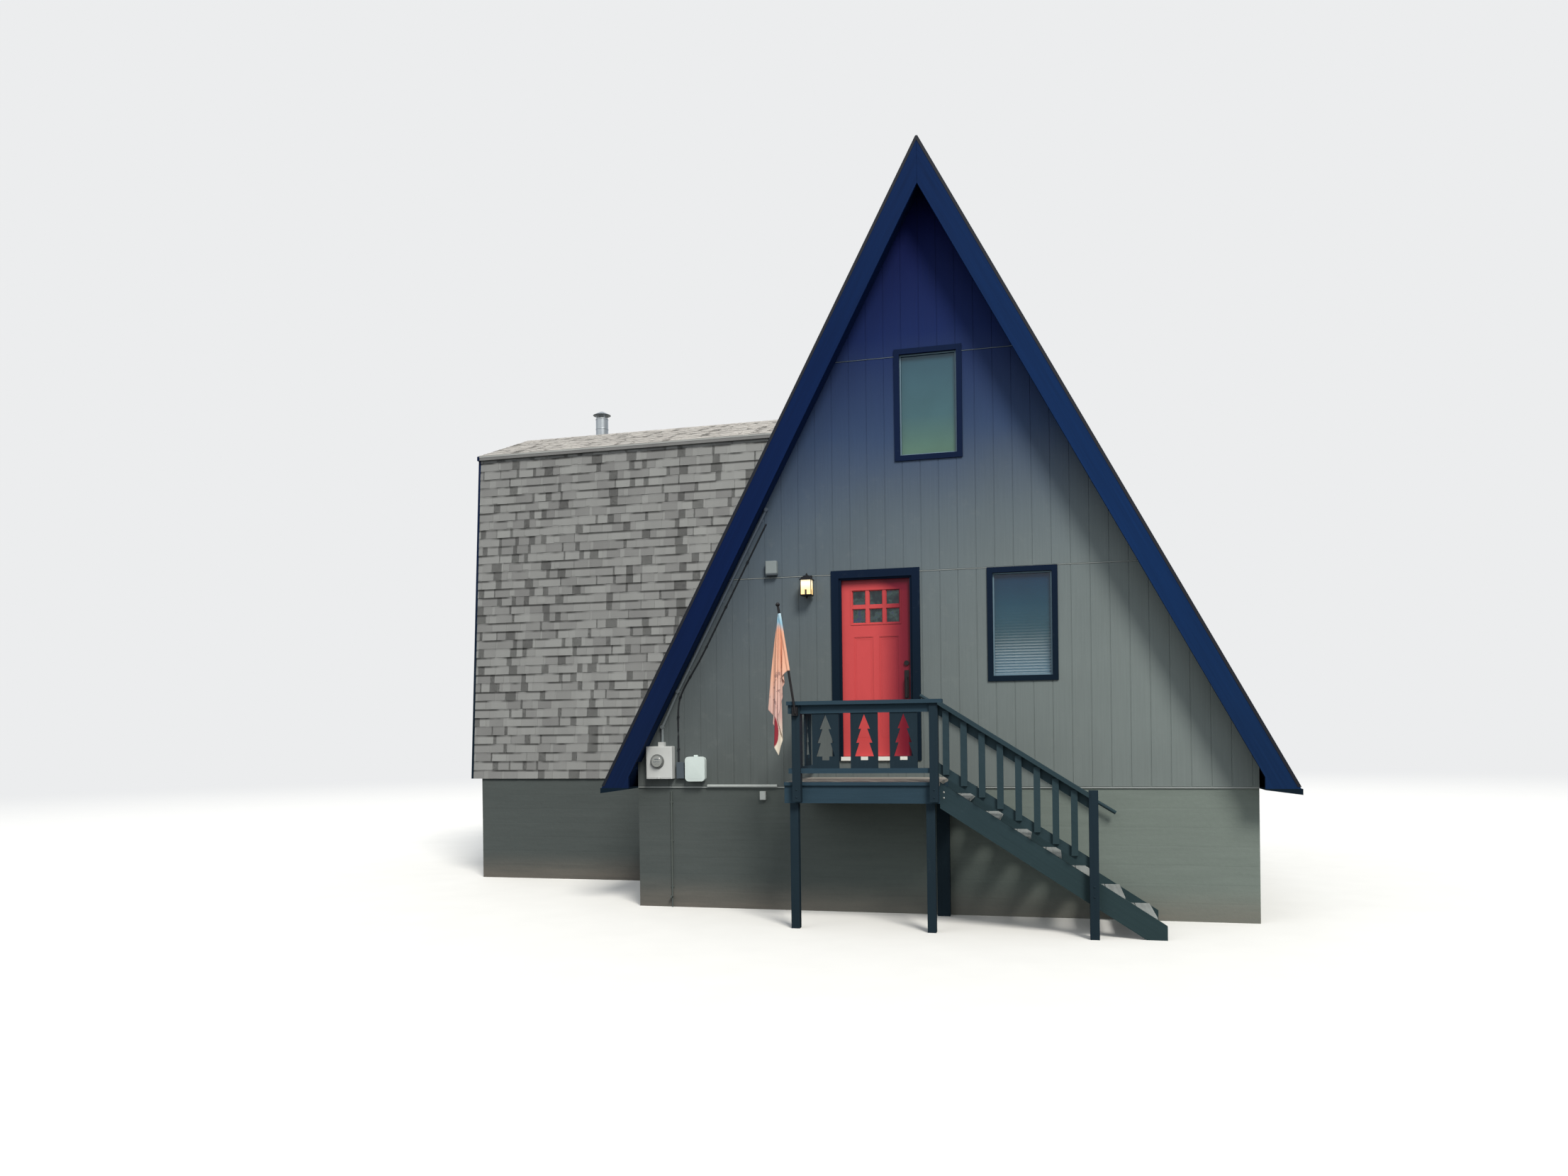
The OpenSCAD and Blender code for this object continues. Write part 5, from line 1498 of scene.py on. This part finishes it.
    def cable(self):
        """A black cable clipped beside the conduit, down to the link box."""
        path = [Vector((x, WALL_Y - 0.014, z)) for x, z in CABLE]
        smooth = []
        for first, second in zip(path, path[1:]):
            smooth += [first.lerp(second, k / 4) for k in range(4)]
        smooth.append(path[-1])
        for _ in range(3):
            smooth = ([smooth[0]] + [(a + b * 2 + c) / 4 for a, b, c
                                     in zip(smooth, smooth[1:], smooth[2:])] + [smooth[-1]])
        bm = bmesh.new()
        tube(bm, smooth, 0.009)
        for i in range(2, len(smooth) - 2, 5):
            add_block(bm, smooth[i] + Vector((0, 0.00225, 0)), (0.028, 0.0245, 0.012))
        new_piece("clipped_cable", outward(bm), "cable", slot="black_metal")

    def lantern(self):
        """The lantern: back plate, arm, tapered cap, thin cage, foot and lit glass."""
        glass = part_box("lantern_glass")
        low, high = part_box("lantern")
        at = (glass[0] + glass[1]) / 2
        bm = bmesh.new()
        add_box(bm, (at.x - 0.045, WALL_Y - 0.014, at.z - 0.045),
                (at.x + 0.045, WALL_Y, at.z + 0.145))
        add_box(bm, (at.x - 0.009, at.y, high.z - 0.036),
                (at.x + 0.009, WALL_Y - 0.008, high.z - 0.022))
        bevelled(bm, 0.003, 2)
        part = bmesh.new()
        eave = glass[1].z
        square = Matrix.Rotation(math.pi / 4, 4, "Z")
        for z0, z1, wide, top in ((eave + 0.004, eave + 0.052, 0.148, 0.05),
                                  (eave - 0.004, eave + 0.004, 0.148, 0.148),
                                  (glass[0].z - 0.012, glass[0].z, 0.134, 0.134)):
            add_round(part, wide / math.sqrt(2), z1 - z0,
                      Matrix.Translation((at.x, at.y, (z0 + z1) / 2)) @ square, 4,
                      top / math.sqrt(2))
        bevelled(part, 0.002, 2)
        for z0, z1, wide, top in ((eave + 0.05, high.z - 0.012, 0.012, 0.012),
                                  (high.z - 0.014, high.z, 0.012, 0.004),
                                  (low.z, glass[0].z - 0.01, 0.007, 0.02)):
            add_round(part, wide, z1 - z0, Matrix.Translation((at.x, at.y, (z0 + z1) / 2)), 20, top)
        for x in (-0.061, 0.061):
            for y in (-0.061, 0.061):
                add_box(part, (at.x + x - 0.003, at.y + y - 0.003, glass[0].z - 0.002),
                        (at.x + x + 0.003, at.y + y + 0.003, eave))
        join(bm, part)
        new_piece("lantern_cage", bm, "black", slot="black_metal", replaces=("lantern",))
        bm = bmesh.new()
        add_box(bm, (at.x - 0.058, at.y - 0.058, glass[0].z),
                (at.x + 0.058, at.y + 0.058, eave - 0.004))
        bevelled(bm, 0.003, 2)
        new_piece("lit_lantern", bm, "glow", slot="glass", replaces=("lantern_glass",))

    def flue(self):
        """Bands round the flue and a flashing plate on the slope."""
        low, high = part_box("flue")
        middle = (low + high) / 2
        bm = bmesh.new()
        for z in (low.z + 0.3, low.z + 0.52, high.z - 0.13):
            add_round(bm, 0.104, 0.012, Matrix.Translation((middle.x, middle.y, z)), 32)
        bevelled(bm, 0.003, 2, 50)
        slope = WING_TOP - (middle.y - WING_Y) * math.tan(WING_PITCH)
        place = (Matrix.Translation((middle.x, middle.y, slope + 0.012))
                 @ Matrix.Rotation(-WING_PITCH, 4, "X"))
        plate = bmesh.new()
        add_box(plate, (-0.2, -0.2, -0.003), (0.2, 0.2, 0.003), place)
        bevelled(plate, 0.002, 1)
        add_round(plate, 0.16, 0.1, Matrix.Translation((middle.x, middle.y, slope + 0.045)),
                  32, 0.104)
        join(bm, plate)
        new_piece("flue_bands", bm, "flue", slot="flue_steel")


# Flag


class CabinFlag(bpy.types.PropertyGroup):
    """Sizes of the flag."""

    width: FloatProperty(name="Width", description="Width of the flag along its sleeve",
                         default=0.61, unit="LENGTH")
    drop: FloatProperty(name="Drop", description="Length of the flag below its sleeve",
                        default=0.98, unit="LENGTH")
    steps: IntProperty(name="Steps", description="Frames of the cloth's fall", default=66)


class CABIN_OT_flag(bpy.types.Operator):
    """Hangs the flag from its pole as cloth"""

    bl_idname = "cabin.flag"
    bl_label = "Flag"

    ACROSS, DOWN, RING = 34, 50, 8
    SLEEVE = 0.0165

    def execute(self, context):
        """Lets the cloth fall and makes it a piece."""
        sett = context.scene.cabin.flag
        cloth = self.cloth(sett)
        self.fall(context, cloth, sett)
        smooth = cloth.modifiers.new("smooth", "SUBSURF")
        smooth.levels = smooth.render_levels = 1
        thick = cloth.modifiers.new("thick", "SOLIDIFY")
        thick.thickness = 0.0016
        thick.offset = 0
        mesh = baked(cloth)
        context.scene.frame_set(1)
        for name in ("rail_stop", "wall_stop", "post_stop"):
            helper = bpy.data.objects.get(name)
            if helper:
                bpy.data.objects.remove(helper)
        flag = add_piece("hung_flag", mesh, "flag", slot="flag_cloth", replaces=("flag",),
                         smooth=True)
        return {"FINISHED"}

    def cloth(self, sett):
        """The flat cloth, sewn round the pole along one edge."""
        foot = Vector(POLE_FOOT)
        along = Vector((-math.sin(POLE_LEAN), 0, math.cos(POLE_LEAN)))
        head = foot + along * (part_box("flag")[1].z - 0.008 - foot.z) / along.z
        side = Vector((-math.cos(POLE_LEAN), 0, -math.sin(POLE_LEAN)))
        near = Vector((0, -1, 0))
        hang = (side * 0.8 + Vector((0, 0, -0.6))).normalized()
        hem = math.tau * self.SLEEVE
        bm = bmesh.new()
        layer = bm.loops.layers.uv.new("cut")
        rows, cuts = [], {}
        for i in range(self.ACROSS + 1):
            base = head - along * (sett.width * i / self.ACROSS)
            row = []
            for k in range(self.RING + self.DOWN + 1):
                if k < self.RING:
                    a = math.tau * (1 - k / self.RING)
                    place = base + (side * math.cos(a) + near * math.sin(a)) * self.SLEEVE
                    down = hem * k / self.RING
                else:
                    far = sett.drop * (k - self.RING) / self.DOWN
                    ripple = 0.02 * math.sin(far * 18 + i * 0.35) * min(1, far * 4)
                    place = base + side * self.SLEEVE + hang * far + near * ripple
                    down = hem + far
                vert = bm.verts.new(place)
                cuts[vert] = (i / self.ACROSS, down / (sett.drop + hem))
                row.append(vert)
            rows.append(row)
        for first, second in zip(rows, rows[1:]):
            for k in range(len(first) - 1):
                face = bm.faces.new((first[k], first[k + 1], second[k + 1], second[k]))
                for loop in face.loops:
                    loop[layer].uv = cuts[loop.vert]
        cloth = linked("cloth", mesh_of(bm, "cloth"))
        pinned = cloth.vertex_groups.new(name="sleeve")
        count = self.RING + self.DOWN + 1
        for i in range(self.ACROSS + 1):
            pinned.add([i * count + k for k in range(self.RING + 1)], 1.0, "REPLACE")
        return cloth

    def fall(self, context, cloth, sett):
        """Lets the cloth fall beside the pole, in front of the rail."""
        post = [pair for pair in solids_of("porch_posts") if pair[0].z > 1.0][0]
        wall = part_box("flag")[1].y + 0.035
        stops = {
            "rail_stop": ((post[0].x - 0.95, wall, 1.2), (post[1].x + 0.4, wall + 0.07, 2.45)),
            "post_stop": ((post[0].x - 0.043, wall - 0.2, 1.2), (post[1].x, post[0].y, 2.42)),
            "wall_stop": ((post[0].x - 0.52, post[0].y, 2.3), (post[1].x + 0.2, wall + 0.12, 3.4)),
        }
        for name, (low, high) in stops.items():
            bm = bmesh.new()
            add_box(bm, low, high)
            stop = linked(name, mesh_of(bm, name))
            stop.modifiers.new("stop", "COLLISION")
            stop.collision.thickness_outer = 0.004
            stop.collision.cloth_friction = 10
        sim = cloth.modifiers.new("cloth", "CLOTH")
        sim.settings.vertex_group_mass = "sleeve"
        for key, value in {"quality": 8, "mass": 0.12, "air_damping": 1.5, "tension_stiffness": 15,
                           "compression_stiffness": 5, "shear_stiffness": 1.0,
                           "bending_stiffness": 0.05, "tension_damping": 10,
                           "compression_damping": 10, "shear_damping": 5}.items():
            setattr(sim.settings, key, value)
        touch = sim.collision_settings
        touch.use_self_collision = True
        touch.self_distance_min = touch.distance_min = 0.004
        touch.collision_quality = 3
        touch.self_friction = 4
        sim.point_cache.frame_start = context.scene.frame_start = 1
        sim.point_cache.frame_end = context.scene.frame_end = sett.steps
        for step in range(1, sett.steps + 1):
            context.scene.frame_set(step)
        still = bpy.data.meshes.new_from_object(
            cloth.evaluated_get(context.evaluated_depsgraph_get()))
        cloth.modifiers.remove(sim)
        cloth.data = still


# Stage


class CabinStage(bpy.types.PropertyGroup):
    """The camera's place and the light."""

    eye: FloatVectorProperty(name="Eye", description="Place of the camera", subtype="TRANSLATION",
                             default=(1.3318, -12.2791, 2.1251))
    focal: FloatProperty(name="Focal length", description="Focal length in pixels", default=1515.14)
    key: FloatProperty(name="Key light", description="Strength of the main light", default=3.1)
    sky: FloatProperty(name="Sky", description="Strength of the sky light", default=0.85)


class CABIN_OT_stage(bpy.types.Operator):
    """Sets the floor, the lights, the sky and the camera"""

    bl_idname = "cabin.stage"
    bl_label = "Stage"

    # The photograph's width and its lens shift, in pixels, and the axes of its camera
    WIDE = 2212
    SHIFT = (3.26, 199.4)
    RIGHT = Vector((0.97047, 0.24090, -0.01269))
    UP = Vector((0.01201, 0.00429, 0.99992))
    AHEAD = Vector((-0.24093, 0.97054, -0.00127))

    def execute(self, context):
        """Makes the stage."""
        sett = context.scene.cabin.stage
        self.camera(context, sett)
        self.floor()
        self.lights(context, sett)
        context.scene.view_settings.view_transform = "Standard"
        return {"FINISHED"}

    def camera(self, context, sett):
        """The camera at the photograph's viewing angle."""
        data = bpy.data.cameras.new("camera")
        data.sensor_width = 36.0
        data.lens = sett.focal / self.WIDE * data.sensor_width
        data.shift_x, data.shift_y = (shift / self.WIDE for shift in self.SHIFT)
        data.clip_end = 200
        camera = linked("camera", data)
        turn = Matrix((self.RIGHT, self.UP, -self.AHEAD)).transposed()
        camera.matrix_world = Matrix.Translation(sett.eye) @ turn.to_4x4()
        context.scene.camera = camera

    def floor(self):
        """A wide pale floor that the camera sees as a pale background."""
        bm = bmesh.new()
        bmesh.ops.create_grid(bm, x_segments=1, y_segments=1, size=90)
        mesh = mesh_of(bm, "floor")
        floor = linked("floor", mesh)
        f = Finish("floor_pale", 0.9, shine=0.1)
        speck = f.noise(2.0, 2)
        pale = f.mix(speck, srgb(222, 222, 219), srgb(228, 228, 225))
        seen = f.number("ShaderNodeLightPath", output="Is Camera Ray")
        f.set("Base Color", f.mix(seen, srgb(112, 112, 108), pale))
        far = (f.x * f.x + f.y * f.y).math("SQRT").step(12.0, 42.0)
        glow = f.node("ShaderNodeEmission", {0: srgb(*BACKDROP), 1: 1.0})
        blend = f.node("ShaderNodeMixShader", {0: far * seen, 1: f.shader.outputs[0], 2: glow})
        ends = next(n for n in f.tree.nodes if n.type == "OUTPUT_MATERIAL")
        f.feed(ends.inputs[0], blend)
        mesh.materials.append(f.material)

    def lights(self, context, sett):
        """Soft light from above and in front."""
        world = bpy.data.worlds.new("sky")
        context.scene.world = world
        world.use_nodes = True
        sky = Nodes(world.node_tree)
        sky.tree.nodes.clear()
        light = sky.node("ShaderNodeBackground", {0: srgb(238, 243, 250), 1: sett.sky})
        seen = sky.node("ShaderNodeBackground", {0: srgb(*BACKDROP)})
        path = sky.node("ShaderNodeLightPath", output="Is Camera Ray")
        out = sky.tree.nodes.new("ShaderNodeOutputWorld")
        sky.feed(out.inputs[0], sky.node("ShaderNodeMixShader", {0: path, 1: light, 2: seen}))
        for name, power, turn, wide in (("key", sett.key, (44, 0, 34), 18),
                                        ("fill", 0.35, (60, 0, -40), 45)):
            data = bpy.data.lights.new(name, "SUN")
            data.energy = power
            data.angle = math.radians(wide)
            data.color = srgb(255, 250, 242)[:3]
            lamp = linked(name, data)
            lamp.rotation_euler = [math.radians(a) for a in turn]


# Finishes of the model's own nodes

NODE_FINISHES = {
    "block": ("foundation_front", "foundation_back", "foundation_sides", "wing_foundation_sides",
              "wing_foundation_end"),
    "flashing": ("sill_flashing",),
    "floor": ("main_floor", "loft_floor", "wing_floor", "wing_loft_floor"),
    "siding": ("front_wall_left", "front_wall_right", "front_wall_under_door", "front_wall_gable",
               "back_wall_lower", "back_wall_gable", "wing_wall_lower", "wing_wall_upper"),
    "soffit": ("roof_left", "roof_right", "wing_roof_front", "wing_roof_back", "ridge_cap",
               "wing_ridge_cap"),
    "shingle": ("wing_upper_front", "wing_upper_back"),
    "rake": ("front_rake_boards", "back_rake_boards"),
    "trim": ("eave_boards", "wing_rake_boards", "front_windows", "rear_windows", "door_frame"),
    "porch": ("porch_frame", "porch_front_rail", "porch_side_rail"),
    "stair": ("stair_stringers", "stair_rail", "wall_handrail"),
    "post": ("porch_posts", "rail_boards"),
    "deck": ("porch_deck",),
    "tread": ("stair_treads",),
    "flue": ("flue",),
    "glass": ("window_glass",),
    "lite": ("door_glass",),
    "glow": ("lantern_glass",),
    "blind": ("window_blinds",),
    "white": ("door_threshold",),
    "door": ("door_slab",),
    "black": ("door_hinges", "door_handle", "lantern", "flag_pole"),
    "pale": ("service_boxes",),
    "pipe": ("service_pipes",),
    "flag": ("flag",),
}


class CABIN_OT_finishes(bpy.types.Operator):
    """Makes the finishes and gives them to the model's nodes"""

    bl_idname = "cabin.finishes"
    bl_label = "Finishes"

    def execute(self, context):
        """Gives each node its finish."""
        make_finishes()
        for key, nodes in NODE_FINISHES.items():
            for node in nodes:
                data = NODES[node].data
                if not data.materials:
                    data.materials.append(None)
                for i in range(len(data.materials)):
                    data.materials[i] = finish_of(key)
        return {"FINISHED"}


class CabinSettings(bpy.types.PropertyGroup):
    """Everything that can be set."""

    siding: PointerProperty(type=CabinSiding)
    shingles: PointerProperty(type=CabinShingles)
    windows: PointerProperty(type=CabinWindows)
    porch: PointerProperty(type=CabinPorch)
    flag: PointerProperty(type=CabinFlag)
    stage: PointerProperty(type=CabinStage)


class CABIN_PT_panel(bpy.types.Panel):
    """Lists the cabin's steps"""

    bl_label = "Cabin"
    bl_idname = "CABIN_PT_panel"
    bl_space_type = "VIEW_3D"
    bl_region_type = "UI"
    bl_category = "Cabin"

    def draw(self, context):
        """Draws a button for each step."""
        for step in STEPS:
            self.layout.operator(step.bl_idname)


STEPS = (CABIN_OT_finishes, CABIN_OT_stage, CABIN_OT_siding, CABIN_OT_shingles, CABIN_OT_edges,
         CABIN_OT_windows, CABIN_OT_door, CABIN_OT_porch, CABIN_OT_fixtures, CABIN_OT_flag)
CLASSES = (CabinSiding, CabinShingles, CabinWindows, CabinPorch, CabinFlag, CabinStage,
           CabinSettings, *STEPS, CABIN_PT_panel)


def register():
    """Registers the classes and the settings."""
    for item in CLASSES:
        bpy.utils.register_class(item)
    bpy.types.Scene.cabin = PointerProperty(type=CabinSettings)


def unregister():
    """Takes the classes and the settings away."""
    del bpy.types.Scene.cabin
    for item in reversed(CLASSES):
        bpy.utils.unregister_class(item)


def main():
    """Runs every step."""
    register()
    for step in STEPS:
        group, name = step.bl_idname.split(".")
        getattr(getattr(bpy.ops, group), name)()
    bpy.context.view_layer.update()


if __name__ == "__main__":
    main()
